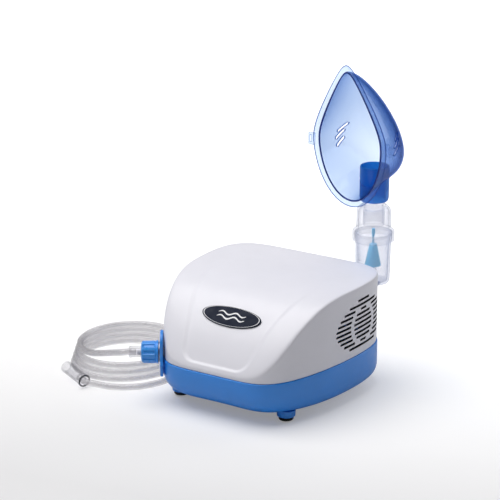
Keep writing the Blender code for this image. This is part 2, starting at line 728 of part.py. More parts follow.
def make_motor():
    shaft = axis_empty("shaft_axis", shaft_spot(0.0), SHAFT_TURN)
    stator = box("motor_stator", (70.0, 2 * STATOR_HALF_LENGTH, 44.0), LAMINATION,
                 at=shaft_spot(0.0, -11.0))
    boolean(stator, rod("rotor_bore", 15.0, 40.0, at=shaft_spot(0.0), turn=SHAFT_TURN, steps=28))
    boolean(stator, box("coil_window", (17.0, 40.0, 26.0), at=shaft_spot(0.0, -25.5)))
    coil = box("motor_coil", (26.0, 44.0, 25.2), COPPER, at=shaft_spot(0.0, -38.6))
    bevel(coil, 4.0, 2)
    boolean(coil, box("limb_hole", (12.8, 2 * STATOR_HALF_LENGTH + 0.8, 40.0),
                      at=shaft_spot(0.0, -40.0)))
    turned("rotor", [(14.4, 13.0), (14.4, -13.0), (3.3, -13.0), (3.3, 13.0)],
           LAMINATION, shaft, steps=20)
    turned("rotor_shaft", [(0.0, 48.0), (2.6, 48.0), (SHAFT_RADIUS, 47.0), (SHAFT_RADIUS, -38.2),
                           (0.0, -38.2)], STEEL, shaft, steps=16, closed=False)
    for label, side in (("front", -1), ("rear", 1)):
        strap = box(label + "_bracket", (40.0, 12.4, 10.0), ALUMINIUM,
                    at=shaft_spot(side * (STATOR_HALF_LENGTH + 6.5)))
        gap_box = box(label + "_bracket_gap", (31.0, 10.0, 14.0),
                      at=shaft_spot(side * (STATOR_HALF_LENGTH + 4.4)))
        boolean(strap, gap_box)
        boss = rod(label + "_boss", 10.4, 6.0, at=shaft_spot(side * 21.3), turn=SHAFT_TURN)
        boolean(strap, boss, "UNION")
        seat = rod(label + "_seat", 8.3, 20.0, at=shaft_spot(side * 21.3), turn=SHAFT_TURN)
        boolean(strap, seat)
        turned(label + "_bearing", [(8.0, 2.5), (8.0, -2.5), (3.3, -2.5), (3.3, 2.5)],
               STEEL, shaft, at=(0, 0, side * 21.3), steps=14)
    make_fan(shaft)
    return shaft


def make_fan(shaft):
    blades = 8
    outline = []
    for blade in range(blades):
        start = math.tau * blade / blades
        for radius, swing in ((8.0, 0.30), (27.0, 0.52), (27.6, 0.60), (8.6, 0.46)):
            outline.append((radius * math.cos(start + swing), radius * math.sin(start + swing)))
    flat_part("cooling_fan", [outline, circle(3.3, 20)], 12.0, NYLON, shaft, at=(0, 0, 38.0))


def make_crank(shaft):
    """Disc with an offset pin on the front end of the shaft."""
    disc = rod("crank_eccentric", 12.0, 12.0, STEEL, shaft, at=(0, 0, -36.5), steps=20)
    boolean(disc, rod("crank_bore", 3.3, 10.0, parent=shaft, at=(0, 0, -33.6), steps=16))
    boolean(disc, rod("crank_pin", 3.5, 14.0, parent=shaft, at=(-CRANK_OFFSET, 0, -48.0), steps=16),
            "UNION")


def make_piston():
    """The rod stays level as the crank turns, and its piston points to -X."""
    pin = axis_empty("crank_pin_axis", shaft_spot(CRANK_Y - 4.0, -CRANK_OFFSET), SHAFT_TURN)
    turned("crank_bearing", [(7.0, 4.0), (7.0, -4.0), (3.8, -4.0), (3.8, 4.0)], STEEL, pin, steps=14)
    eye = [(10.0 * math.cos(t), 10.0 * math.sin(t)) for t in
           (math.radians(-150 + 300 * i / 20) for i in range(21))]
    neck = [(-37.0, 5.0), (-37.0, -5.0)]
    arm = flat_part("connecting_rod", [eye + neck, circle(7.3, 20)], 7.6, ALUMINIUM, pin)
    crown = rod("piston_crown", PISTON_RADIUS, 5.0, parent=pin, at=(-38.0, 0, 0),
                turn=(0, math.radians(90), 0), steps=28)
    boolean(arm, crown, "UNION")
    turned("piston_seal", [(PISTON_RADIUS - 3.0, 1.2), (PISTON_RADIUS + 0.4, 0.6),
                           (PISTON_RADIUS + 0.4, -0.2), (PISTON_RADIUS - 3.0, -0.2)],
           PTFE, pin, at=(-41.0, 0, 0), turn=(0, math.radians(-90), 0))


def cylinder_spot(x, z=0.0, side=0.0):
    return SHAFT_X - 20.0 + x, CRANK_Y - 4.0 + side, SHAFT_Z + z


def make_cylinder():
    along_x = (0, math.radians(90), 0)
    sleeve = box("cylinder_sleeve", (23.0, 36.0, 36.0), ALUMINIUM, at=cylinder_spot(-14.5))
    foot_top, foot_bottom = SHAFT_Z - 17.0, FRAME_TOP + GAP
    boolean(sleeve, box("sleeve_foot", (18.0, 26.0, foot_top - foot_bottom),
                        at=cylinder_spot(-14.5, (foot_top + foot_bottom) / 2 - SHAFT_Z)), "UNION")
    boolean(sleeve, rod("cylinder_bore", BORE_RADIUS, 60.0, at=cylinder_spot(-14.5), turn=along_x,
                        steps=32))
    plate = box("valve_plate", (2.6, 36.0, 36.0), STEEL, at=cylinder_spot(-27.6))
    head = box("cylinder_head", (11.0, 36.0, 36.0), ALUMINIUM, at=cylinder_spot(-34.7))
    bevel(head, 1.5, 2)
    boolean(head, box("head_chamber", (12.0, 24.0, 20.0), at=cylinder_spot(-33.0 + 4.0)))
    boolean(head, rod("head_port", 3.2, 20.0, at=cylinder_spot(-44.0), turn=along_x, steps=16))
    boolean(plate, group("valve_ports", [((10.0, 3.0, 3.0), cylinder_spot(-27.6, 5.0)),
                                         ((10.0, 3.0, 3.0), cylinder_spot(-27.6, -5.0))]))
    for label, side in (("front", -1), ("rear", 1)):
        spot = cylinder_spot(-34.0, side * 14.6, side * 14.6)
        for target in (plate, head):
            boolean(target, rod(f"{target.name}_hole_{label}", 1.9, 30.0, at=spot, turn=along_x,
                                steps=12))
        blind = cylinder_spot(-23.0, side * 14.6, side * 14.6)
        boolean(sleeve, rod("sleeve_hole_" + label, 1.9, 10.0, at=blind, turn=along_x, steps=12))
        turned("head_screw_" + label, [(0.0, 44.6), (2.6, 44.6), (3.0, 43.6), (3.0, 40.6), (1.5, 40.6),
                                       (1.5, 20.0), (0.0, 20.0)],
               STEEL, at=cylinder_spot(0.0, side * 14.6, side * 14.6), turn=(0, math.radians(-90), 0),
               steps=12, closed=False)


def make_compressor_frame():
    frame = box("compressor_frame", (84.0, 98.0, FRAME_THICKNESS), STEEL,
                at=(9.0, -19.0, FRAME_TOP - FRAME_THICKNESS / 2))
    for label, x in (("left", -11.0), ("right", 44.0)):
        leg = box("frame_leg_" + label, (8.0, 22.0, 4.6), at=(x, 0.0, FRAME_TOP + 1.4))
        boolean(frame, leg, "UNION")
    holes = [(3.4, 10.0, (x, y, FRAME_TOP)) for x, y in MOUNT_PLACES.values()]
    boolean(frame, group("frame_holes", holes))
    bottom, top = FLOOR_Z + BASE_WALL + GAP, FRAME_TOP - FRAME_THICKNESS - GAP
    for label, (x, y) in MOUNT_PLACES.items():
        turned("rubber_mount_" + label, [
            (0.0, FRAME_TOP + 2.4), (2.4, FRAME_TOP + 2.2), (3.0, top), (6.0, top - 0.2),
            (6.4, (top + bottom) / 2), (6.0, bottom), (0.0, bottom)],
            RUBBER, at=(x, y, 0.0), steps=10, closed=False)


def make_hoses():
    begin = Vector(cylinder_spot(-41.2))
    points = spline_through([begin, begin + Vector((-5.0, -0.5, 0.0)), outlet_spot(-29.0),
                             outlet_spot(-21.0)], 3)
    points.append(outlet_spot(-9.8))
    hose("delivery_hose", points, 4.4, SILICONE, wall=1.3)
    intake = spline_through([(-34.0, 83.4, 76.0), (-34.0, 66.0, 76.0), (-48.0, 40.0, 70.0),
                             (-52.0, 0.0, 58.0), (-50.0, -24.0, 40.0)], 3)
    hose("intake_hose", intake, 4.0, SILICONE, wall=1.2)
    x, z = SWITCH_PLACE
    hose("switch_lead", spline_through([(x, HALF_DEPTH - 17.6, z), (x, 62.0, z), (-14.0, 48.0, 20.0),
                                        (-11.0, 32.0, 36.0), (-11.0, 23.8, 44.0)], 3),
         1.4, WIRE_BROWN)
    x, z = INLET_PLACE
    hose("inlet_lead", spline_through([(x, HALF_DEPTH - 18.6, z + 4.0), (x, 62.0, z + 2.0),
                                       (6.0, 50.0, 15.0), (-5.0, 35.0, 24.0), (-5.0, 23.8, 44.0)], 3),
         1.4, WIRE_BLUE)


# ---------------------------------------------------------------- medicine cup and mask

def make_kit():
    kit = axis_empty("kit_axis", (KIT_X, KIT_Y, 0.0))
    turned("nebulizer_cup", [
        (18.0, 133.5), (18.0, 128.0), (16.6, 88.5), (15.4, 86.0), (3.2, 86.0), (2.9, 70.0),
        (1.6, 70.0), (1.5, 86.0), (0.8, 112.0), (2.0, 112.0), (4.6, 90.0), (5.8, 88.2),
        (14.6, 88.2), (16.4, 128.0), (16.4, 133.5)], CLEAR, kit, steps=20)
    turned("nebulizer_baffle", [
        (0.0, 140.0), (1.2, 140.0), (1.7, 139.2), (1.7, 134.0), (1.1, 133.4), (1.1, 125.0), (3.6, 124.4),
        (8.0, 102.5), (6.8, 102.5), (2.6, 122.0), (0.0, 122.4)],
        CONE_BLUE, kit, steps=16, closed=False)
    turned("top_seal", [(17.4, 136.4), (18.2, 135.6), (18.2, 134.6), (17.4, 133.8), (16.7, 133.8),
                        (16.7, 136.4)], SILICONE, kit, steps=16)
    turned("nebulizer_top", [
        (10.6, 176.0), (10.9, 163.6), (13.6, 162.7), (15.9, 160.6), (16.6, 157.6), (16.9, 139.4),
        (19.6, 138.9), (20.4, 137.9), (20.4, 128.5), (18.5, 128.5), (18.5, 136.9), (15.4, 136.9),
        (15.1, 157.4), (13.9, 160.0), (10.4, 161.2), (10.4, 144.0), (9.2, 144.0), (9.2, 176.0)],
        CLEAR, kit, steps=20)
    turned("mask_port", [
        (13.8, 203.0), (14.2, 201.5), (14.2, 172.0), (12.8, 168.3), (11.4, 168.3), (11.4, 178.0),
        (12.6, 179.0), (12.6, 203.0)], PORT_BLUE, kit, steps=20)
    return kit


def mask_half_width(angle):
    """Pear outline: angle runs from 0 at the chin to pi at the nose."""
    c = math.cos(angle)
    narrow = 1 - 0.29 * (math.sqrt(c * c + 0.02) - c)
    return math.sin(angle) * narrow


def mask_flange_y(z):
    return MASK_FLANGE_Y + MASK_FLANGE_SLOPE * (z - 230.0)


def flange_ring(inset):
    ring = []
    for i in range(MASK_STEPS):
        angle = math.tau * (i + 0.5) / MASK_STEPS
        c = math.cos(angle)
        x = (MASK_HALF_WIDTH - inset) * mask_half_width(angle % math.tau)
        if angle > math.pi:
            x = -(MASK_HALF_WIDTH - inset) * mask_half_width(math.tau - angle)
        z = MASK_MID_Z - (MASK_HALF_HEIGHT - inset) * c
        ring.append((KIT_X + x, KIT_Y + mask_flange_y(z), z))
    return ring


def shell_ring(share):
    """Ring of the bowl; share is 0 at the flange and 1 at the rear pole."""
    top = MASK_POLE_Z + 101.0 * (1 - share ** 1.5) ** 0.8
    dip = 27.0 - 14.0 * share * (1.6 - share)
    bottom = MASK_POLE_Z - dip * math.sqrt(1 - share ** 8)
    width = (MASK_HALF_WIDTH - 5.2) * (1 - share ** 2.2) ** 0.55
    middle, half = (top + bottom) / 2, (top - bottom) / 2
    ring = []
    for i in range(MASK_STEPS):
        angle = math.tau * (i + 0.5) / MASK_STEPS
        c, s = math.cos(angle), math.sin(angle)
        folded = angle if angle <= math.pi else math.tau - angle
        pear = math.copysign(mask_half_width(folded), s)
        x = width * (pear + (s - pear) * share)
        z = middle - half * c
        y = mask_flange_y(z) * (1 - share) + (MASK_FLANGE_Y + MASK_DEPTH) * share
        ring.append((KIT_X + x, KIT_Y + y, z))
    return ring


def make_mask():
    rings = [flange_ring(0.0), flange_ring(2.6)]
    rings += [shell_ring(share) for share in (0.0, 0.1, 0.27, 0.45, 0.63, 0.8, 0.92, 0.985)]
    mask = place("mask_shell", mesh_of("mask_shell", loft(rings, cap_last=True)), MASK_PVC)
    solidify(mask, MASK_WALL)
    boolean(mask, rod("port_hole", 14.5, 60.0, at=(KIT_X, KIT_Y, 184.0), steps=32))
    slots = [((40.0, 18.0, 2.4), (side * 34.0, -14.0, height)) for side in (-1, 1)
             for height in (240.0, 233.0, 226.0)]
    boolean(mask, group("cheek_slots", slots, at=(KIT_X, KIT_Y, 0.0)))
    for label, side in (("left", -1), ("right", 1)):
        tab = box("strap_tab_" + label, (7.0, 2.0, 12.0),
                  at=(KIT_X + side * (MASK_HALF_WIDTH + 1.4), KIT_Y + mask_flange_y(235.0), 235.0))
        boolean(mask, tab, "UNION")
        slit = box("strap_slit_" + label, (1.8, 10.0, 7.0),
                   at=(KIT_X + side * (MASK_HALF_WIDTH + 2.6), KIT_Y + mask_flange_y(235.0), 235.0))
        boolean(mask, slit)
    return smooth(mask)


# ---------------------------------------------------------------- assembly

make_top_cover()
make_base_tray()
make_feet_and_screws()
make_badge()
make_kit_holder()
make_outlet()
make_tube()
make_rear_fittings()
SHAFT_EMPTY = make_motor()
make_crank(SHAFT_EMPTY)
make_piston()
make_cylinder()
make_compressor_frame()
make_hoses()
make_kit()
make_mask()
for item in [*PARTS.objects, *CUTTERS.objects]:
    if item.parent is None:
        item.location += FRAME_OFFSET * MM
bpy.context.view_layer.update()
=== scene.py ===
import json
import math

import bmesh
import bpy
from mathutils import Matrix, Vector


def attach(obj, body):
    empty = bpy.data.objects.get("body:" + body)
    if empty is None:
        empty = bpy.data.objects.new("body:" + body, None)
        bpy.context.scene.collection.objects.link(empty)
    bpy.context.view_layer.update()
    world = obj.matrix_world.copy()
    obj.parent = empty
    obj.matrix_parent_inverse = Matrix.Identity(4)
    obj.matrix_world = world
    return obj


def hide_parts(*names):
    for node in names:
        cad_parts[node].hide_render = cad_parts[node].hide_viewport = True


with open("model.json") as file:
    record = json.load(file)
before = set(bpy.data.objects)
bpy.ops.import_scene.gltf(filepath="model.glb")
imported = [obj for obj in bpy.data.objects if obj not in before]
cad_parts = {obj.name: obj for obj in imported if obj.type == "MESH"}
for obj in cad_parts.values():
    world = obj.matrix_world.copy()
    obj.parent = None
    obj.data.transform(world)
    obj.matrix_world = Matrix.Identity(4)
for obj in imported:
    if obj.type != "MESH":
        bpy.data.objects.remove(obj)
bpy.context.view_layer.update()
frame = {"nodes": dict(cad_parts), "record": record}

MM = 0.001
SHARP_ANGLE = 38
HOUSE = Vector((50.0, -25.0, 0.0))      # floor under the housing's middle, in the shared frame, mm
TO_WORLD = Matrix.Scale(MM, 4) @ Matrix.Translation(HOUSE)

# Housing, in mm from the floor under its middle
HALF_WIDTH, HALF_DEPTH = 86.0, 90.6
PLAN_TAPER, PLAN_BELLY, PLAN_POWER = 11.3, 12.9, 6.0
SEAM_Z = 43.2
GAP = 0.3
CREST_HEIGHT, CREST_FROM_FRONT, FRONT_LIP = 69.6, 111.3, 10.7
FRONT_RISE_POWER, FRONT_RISE_ROOT, REAR_FALL = 3.0, 0.88, 0.6
SHOULDER_DROP, FRONT_DROP = 5.4, 8.2
SHOULDER_POWER, FRONT_SHOULDER_POWER = 7.4, 2.6
COVER_WALL = 2.2
BASE_WALL, BASE_PROUD, FLOOR_Z = 2.4, 1.0, 8.5
SIDE_TUCK, FRONT_TUCK = 9.0, 27.0
SIDE_CURVE_HEIGHT, FRONT_CURVE_HEIGHT = 14.0, 30.0
FOOT_PLACES = {"front_left": (-58.6, -54.0), "front_right": (58.6, -54.0),
               "rear_left": (-62.0, 58.0), "rear_right": (62.0, 58.0)}
REAR = HALF_DEPTH + BASE_PROUD
ANGLES = [math.tau * i / 288 for i in range(288)]

# Front panel, badge and vents
PANEL_DEPTH, PANEL_EDGE = 1.2, 2.4
PANEL_TOP_HALF, PANEL_TOP_Y = 63.0, 14.0
PANEL_BOTTOM_Z, PANEL_CORNER = 50.2, 15.0
PANEL_FADE = (-38.0, 22.0)              # from full depth to none, along Y
BADGE_Y, BADGE_A, BADGE_B = -55.5, 32.0, 10.5
VENT_MIDDLE_Y, VENT_MIDDLE_Z = 36.0, 72.6
VENT_ROWS, VENT_MIDDLE_ROW, VENT_PITCH = 11, 4.5, 4.5
VENT_SLOT, VENT_SHORTEST = 1.2, 3.0     # half a slot's height, and the shortest slot kept
VENT_HALF_LENGTH, VENT_HALF_RISE, VENT_SHAPE = 45.0, 26.0, 1.7
VENT_DISC, VENT_RING, VENT_OPEN = 16.6, 21.3, 18.8

# Rear fittings and the holder
SWITCH_X, INLET_X, MAINS_Z, PIN_OFFSET = -22.0, 12.0, 25.0, 4.3
FILTER_X, FILTER_Z = -34.0, 76.0
HOLDER_Y, HOLDER_Z, HOLDER_TONGUE = 93.6, 77.0, 5.8

# Outlet, tube and coil
OUTLET_ANGLE = math.radians(212.7)
OUTWARD = Vector((math.cos(OUTLET_ANGLE), math.sin(OUTLET_ANGLE), 0.0))
EAR_THICKNESS = 2.8
OUTLET_ORIGIN = Vector((-64.5, -73.7, 47.5)) + OUTWARD * (0.5 + EAR_THICKNESS)
COIL_CENTRE, COIL_TURNS = (-141.0, -22.0), 3.5
COIL_TOP_RADIUS, COIL_BOTTOM_RADIUS, COIL_STRETCH, COIL_DRIFT = 49.0, 54.0, 4.0, 3.0
COIL_PITCH, COIL_FLOOR_Z = 6.6, 3.4
FREE_CUFF_START = Vector((-146.5, -91.0, 6.2))
FREE_CUFF_WAY = Vector((-0.92, 0.37, 0.12)).normalized()

# Cup and mask axis
KIT_X, KIT_Y = 54.8, 112.0
CUP_WALL_FOOT, CUP_WALL_RISE, CUP_WALL_TOP = (16.6, 88.5), 38.1, 0.7
MASK_MID_Z, MASK_HALF_HEIGHT, MASK_HALF_WIDTH = 242.5, 69.5, 40.0
MASK_FLANGE_Y, MASK_FLANGE_SLOPE, MASK_DEPTH, MASK_POLE_Z = -48.3, -0.10, 85.0, 205.0
MASK_WALL = 1.3
MASK_ANGLES = [math.tau * (i + 0.5) / 160 for i in range(160)]
TAB_Z = 235.0

# Stage and camera
FLOOR_DROP = 0.0001
# The floor's glow is painted light, seen only by the camera: it lifts the floor and its shadows.
FLOOR_GLOW, GLOW_BACK, GLOW_REACH, GLOW_TURN = (0.10, 0.66), (-0.30, 0.45), (0.5, 1.3), 0.4
CAMERA_YAW, CAMERA_RISE, CAMERA_DISTANCE = 0.568, 0.349, 1.999
CAMERA_TARGET = Vector((-15.5, 0.0, 76.3)) + HOUSE


# ---- node materials

def new_material(name):
    mat = bpy.data.materials.new(name)
    mat.use_nodes = True
    mat.node_tree.nodes.clear()
    return mat, mat.node_tree


def feed(tree, value, socket):
    """Link an output into a socket, or set the socket; a colour is given as three numbers."""
    if isinstance(value, bpy.types.NodeSocket):
        tree.links.new(value, socket)
    elif socket.type == "RGBA":
        socket.default_value = (*value, 1.0)
    else:
        socket.default_value = value


def node(tree, kind, inputs=None, **settings):
    """Add a shader node and return its outputs; inputs go by name or number."""
    made = tree.nodes.new("ShaderNode" + kind)
    for name, value in settings.items():
        setattr(made, name, value)
    for key, value in (inputs or {}).items():
        feed(tree, value, made.inputs[key])
    return made.outputs


def noise(tree, scale, detail=3.0, stretch=None):
    source = node(tree, "TexCoord")["Object"]
    if stretch:
        source = node(tree, "Mapping", {"Vector": source, "Scale": stretch})["Vector"]
    return node(tree, "TexNoise", {"Vector": source, "Scale": scale, "Detail": detail})["Fac"]


def remap(tree, value, low, high, start=0.3, end=0.7):
    """Map the value from start..end to low..high; the default range spreads a noise's middle."""
    return node(tree, "MapRange", {"Value": value, "From Min": start, "From Max": end,
                                   "To Min": low, "To Max": high})["Result"]


def mix_colour(tree, factor, a, b):
    return node(tree, "Mix", {"Factor": factor, "A": a, "B": b}, data_type="RGBA")["Result"]


def mix_shader(tree, factor, a, b):
    return node(tree, "MixShader", {"Fac": factor, 1: a, 2: b})["Shader"]


def calculate(tree, operation, *values):
    return node(tree, "Math", dict(enumerate(values)), operation=operation)["Value"]


def bump(tree, height, distance, strength=1.0):
    return node(tree, "Bump", {"Height": height, "Distance": distance, "Strength": strength})["Normal"]


def shade(colour, amount):
    return tuple(max(0.0, min(1.0, c * amount)) for c in colour)


def solid(name, colour, rough=0.4, metallic=0.0, grain=1500.0, depth=0.00003, mottle=0.06,
          coat=0.0, stretch=None, sheen=0.0, edge=0.12, specular=0.5):
    """Opaque finish: mottled colour, lighter sharp outward edges, uneven roughness and a fine surface grain.
    """
    mat, tree = new_material(name)
    broad = remap(tree, noise(tree, 35.0, 4.0), 0.0, 1.0)
    tone = mix_colour(tree, broad, shade(colour, 1 - mottle), shade(colour, 1 + mottle))
    # Lighter on sharp outward edges, from the mesh's pointiness.
    sharp_edge_share = remap(tree, node(tree, "NewGeometry")["Pointiness"], 0.0, edge, 0.52, 0.60)
    pale = tuple(min(1.0, c * 1.25 + 0.06) for c in colour)
    uneven = remap(tree, noise(tree, 180.0, 3.0, stretch), rough * 0.85, rough * 1.2)
    shader = node(tree, "BsdfPrincipled", {
        "Base Color": mix_colour(tree, sharp_edge_share, tone, pale), "Roughness": uneven, "Metallic": metallic,
        "Normal": bump(tree, noise(tree, grain, 3.0, stretch), depth), "Coat Weight": coat,
        "Coat Roughness": 0.12, "Sheen Weight": sheen, "Specular IOR Level": specular})
    node(tree, "OutputMaterial", {"Surface": shader["BSDF"]})
    return mat


def clear(name, face, rim, milk, milk_colour, power=1.6, edge_milk=0.0, shine=0.55):
    """See-through plastic: tinted more where the wall is seen edge on, with a milky body and a gloss.

    Light that falls through it to other surfaces only takes the face tint.
    """
    mat, tree = new_material(name)
    weight = node(tree, "LayerWeight", {"Blend": 0.5})["Facing"]
    facing = calculate(tree, "POWER", weight, power)
    # Edge-on tint: partly the wall's own colour, partly painted shade for refraction's dark edges.
    see = node(tree, "BsdfTransparent", {"Color": mix_colour(tree, facing, face, rim)})["BSDF"]
    cloud = remap(tree, noise(tree, 60.0, 3.0), 0.0, 1.0)
    cloudy = mix_colour(tree, cloud, shade(milk_colour, 0.94), shade(milk_colour, 1.05))
    body = node(tree, "BsdfPrincipled", {"Base Color": cloudy, "Roughness": 0.25})["BSDF"]
    glow = node(tree, "BsdfTranslucent", {"Color": milk_colour})["BSDF"]
    amount = remap(tree, facing, milk, milk + edge_milk, 0.0, 1.0)
    inner = mix_shader(tree, amount, see, mix_shader(tree, 0.5, body, glow))
    uneven = remap(tree, noise(tree, 200.0, 2.0), 0.042, 0.084)
    surface = bump(tree, noise(tree, 90.0, 2.0), 0.00004, 0.6)
    gloss = node(tree, "BsdfGlossy", {"Roughness": uneven, "Normal": surface})["BSDF"]
    mirror = calculate(tree, "MULTIPLY_ADD", calculate(tree, "POWER", weight, 4.5), shine, 0.035)
    passing = node(tree, "BsdfTransparent", {"Color": face})["BSDF"]
    shadow = node(tree, "LightPath")["Is Shadow Ray"]
    lit = mix_shader(tree, shadow, mix_shader(tree, mirror, inner, gloss), passing)
    node(tree, "OutputMaterial", {"Surface": lit})
    return mat


WHITE = solid("abs_white", (0.80, 0.80, 0.86), 0.36, mottle=0.012, depth=0.00001, coat=0.10, edge=0.0)
BLUE = solid("abs_blue", (0.030, 0.265, 0.82), 0.34, mottle=0.04, depth=0.00001, coat=0.15, edge=0.05)
NUT_BLUE = solid("nut_blue", (0.045, 0.32, 0.86), 0.30, mottle=0.05, coat=0.2, edge=0.2)
NAVY = solid("badge_navy", (0.006, 0.011, 0.030), 0.62, mottle=0.10, grain=3000.0, specular=0.22, edge=0.0)
EMBLEM = solid("emblem_white", (0.82, 0.83, 0.86), 0.35, mottle=0.02, grain=3000.0)
BLACK = solid("abs_black", (0.018, 0.018, 0.02), 0.42, mottle=0.15, depth=0.00005, grain=2500.0)
RUBBER = solid("rubber_black", (0.016, 0.016, 0.017), 0.75, mottle=0.2, depth=0.00006, grain=1800.0)
STEEL = solid("steel", (0.58, 0.58, 0.60), 0.30, 1.0, grain=2500.0, stretch=(1.0, 1.0, 14.0))
LAMINATION = solid("lamination_steel", (0.27, 0.27, 0.29), 0.45, 1.0, grain=900.0, depth=0.0001,
                   stretch=(0.3, 6.0, 0.3))
COPPER = solid("copper_wire", (0.55, 0.20, 0.07), 0.34, 1.0, grain=1100.0, depth=0.0002,
               stretch=(0.4, 0.4, 5.0))
ALUMINIUM = solid("aluminium", (0.66, 0.67, 0.69), 0.42, 1.0, grain=1200.0, depth=0.00006)
BRASS = solid("brass", (0.72, 0.52, 0.22), 0.28, 1.0, grain=2500.0)
NYLON = solid("nylon", (0.74, 0.73, 0.68), 0.45)
PTFE = solid("ptfe", (0.78, 0.77, 0.74), 0.5)
SILICONE = solid("silicone", (0.76, 0.77, 0.78), 0.45, sheen=0.1)
FELT = solid("felt", (0.80, 0.80, 0.75), 0.95, grain=2600.0, depth=0.0004, mottle=0.12, sheen=0.5)
WIRE_BLUE = solid("wire_blue", (0.04, 0.13, 0.45), 0.45)
WIRE_BROWN = solid("wire_brown", (0.18, 0.07, 0.035), 0.45)
PORT_BLUE = clear("port_blue", (0.20, 0.52, 0.88), (0.03, 0.18, 0.50), 0.42, (0.025, 0.32, 0.70),
                  edge_milk=0.3, shine=0.35)
CONE_BLUE = solid("cone_blue", (0.22, 0.72, 1.0), 0.30, mottle=0.04, coat=0.2, edge=0.1)
CLEAR = clear("clear_plastic", (0.978, 0.978, 0.986), (0.66, 0.69, 0.78), 0.09, (0.96, 0.97, 1.0),
              power=3.4, edge_milk=0.12)
TUBE_CLEAR = clear("clear_pvc", (0.985, 0.985, 0.985), (0.58, 0.58, 0.60), 0.30, (0.64, 0.63, 0.65),
                   power=3.5, edge_milk=0.32, shine=0.35)
CUFF_CLEAR = clear("cuff_pvc", (0.965, 0.965, 0.972), (0.15, 0.15, 0.18), 0.11, (0.70, 0.69, 0.72),
                   power=4.0, edge_milk=0.08, shine=0.15)
CUP_CLEAR = clear("cup_plastic", (0.972, 0.972, 0.982), (0.58, 0.62, 0.74), 0.12, (0.74, 0.79, 0.93),
                  power=3.0, edge_milk=0.14)
# Painted shade: a dark ring where the tube enters the free cuff.
CUFF_SHADE_BAND = clear("cuff_shade_band", (0.30, 0.32, 0.36), (0.04, 0.05, 0.07), 0.5, (0.02, 0.025, 0.035), shine=0.2)
MASK_TINT = clear("mask_pvc", (0.865, 0.925, 0.995), (0.0, 0.145, 0.50), 0.05, (0.10, 0.46, 1.0),
                  power=1.75, edge_milk=0.05, shine=0.12)
MASK_RIM = clear("mask_rim", (0.05, 0.19, 0.55), (0.01, 0.05, 0.24), 0.40, (0.01, 0.08, 0.38),
                 edge_milk=0.3, shine=0.15)
MASK_FOLD = clear("mask_fold", (0.42, 0.58, 0.86), (0.06, 0.18, 0.50), 0.20, (0.08, 0.24, 0.62),
                  edge_milk=0.2, shine=0.15)
SEAL_MILKY = clear("seal_silicone", (0.95, 0.95, 0.96), (0.82, 0.84, 0.88), 0.25, (0.92, 0.93, 0.97))
# Painted shade: near-black on the vent slots' cut walls, for the shade inside the slots.
SLOT_SHADE = solid("slot_painted_shade", (0.035, 0.035, 0.042), 0.8, mottle=0.1, specular=0.1, edge=0.0)

SLOT_MATERIALS = {
    "cover_white": WHITE, "body_blue": BLUE, "badge_navy": NAVY, "black_plastic": BLACK,
    "rubber_black": RUBBER, "clear_plastic": CLEAR, "clear_pvc": TUBE_CLEAR, "mask_pvc": MASK_TINT,
    "port_blue": PORT_BLUE, "cone_blue": CONE_BLUE, "steel": STEEL, "lamination_steel": LAMINATION,
    "copper_wire": COPPER, "aluminium": ALUMINIUM, "brass": BRASS, "nylon": NYLON, "ptfe": PTFE,
    "silicone": SILICONE, "felt": FELT, "wire_blue": WIRE_BLUE, "wire_brown": WIRE_BROWN,
}
NODE_SLOT = {part["node"]: part["material_slot"] for part in frame["record"]["subparts"]}
for node_name, node_object in frame["nodes"].items():
    node_object.data.materials.clear()
    node_object.data.materials.append(SLOT_MATERIALS[NODE_SLOT[node_name]])


# ---- mesh helpers

def mesh_from(name, bm):
    mesh = bpy.data.meshes.new(name)
    bm.to_mesh(mesh)
    bm.free()
    mesh.shade_smooth()
    return mesh


def place_data(name, data):
    obj = bpy.data.objects.new(name, data)
    bpy.context.scene.collection.objects.link(obj)
    return obj


def finish_mesh(name, bm, *mats):
    """A mesh object in the shared frame from a bmesh in housing millimetres."""
    bmesh.ops.remove_doubles(bm, verts=bm.verts, dist=0.0005)
    bmesh.ops.recalc_face_normals(bm, faces=bm.faces)
    bmesh.ops.transform(bm, matrix=TO_WORLD, verts=bm.verts)
    mesh = mesh_from(name, bm)
    mesh.set_sharp_from_angle(angle=math.radians(SHARP_ANGLE))
    for mat in mats:
        mesh.materials.append(mat)
    return place_data(name, mesh)


def take_part(obj, body, replaced=None):
    """Put a piece on its body, in place of the CAD node it replaces if there is one."""
    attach(obj, body)
    if replaced:
        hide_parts(replaced)


def bake(obj):
    """Swap the object's mesh for its modified mesh."""
    graph = bpy.context.evaluated_depsgraph_get()
    mesh = bpy.data.meshes.new_from_object(obj.evaluated_get(graph))
    obj.modifiers.clear()
    obj.data = mesh


def thicken(obj, thickness):
    wall = obj.modifiers.new("wall", "SOLIDIFY")
    wall.thickness = thickness * MM
    wall.offset = -1.0
    bake(obj)


def cut(obj, tool, operation="DIFFERENCE"):
    """Boolean with a tool that is then removed; a tool with a material leaves it on the cut faces."""
    mod = obj.modifiers.new("cut", "BOOLEAN")
    mod.material_mode = "TRANSFER"
    mod.operation = operation
    mod.solver = "EXACT"
    mod.object = tool
    bake(obj)
    bpy.data.objects.remove(tool, do_unlink=True)


def sharpen(obj, angle=SHARP_ANGLE):
    obj.data.shade_smooth()
    obj.data.set_sharp_from_angle(angle=math.radians(angle))


def round_edges(obj, width):
    mod = obj.modifiers.new("round", "BEVEL")
    mod.width = width * MM
    mod.segments = 3
    mod.limit_method = "ANGLE"
    mod.angle_limit = math.radians(35)
    mod.use_clamp_overlap = True
    bake(obj)
    sharpen(obj, 50)


def circle(count):
    return [math.tau * k / count for k in range(count)]


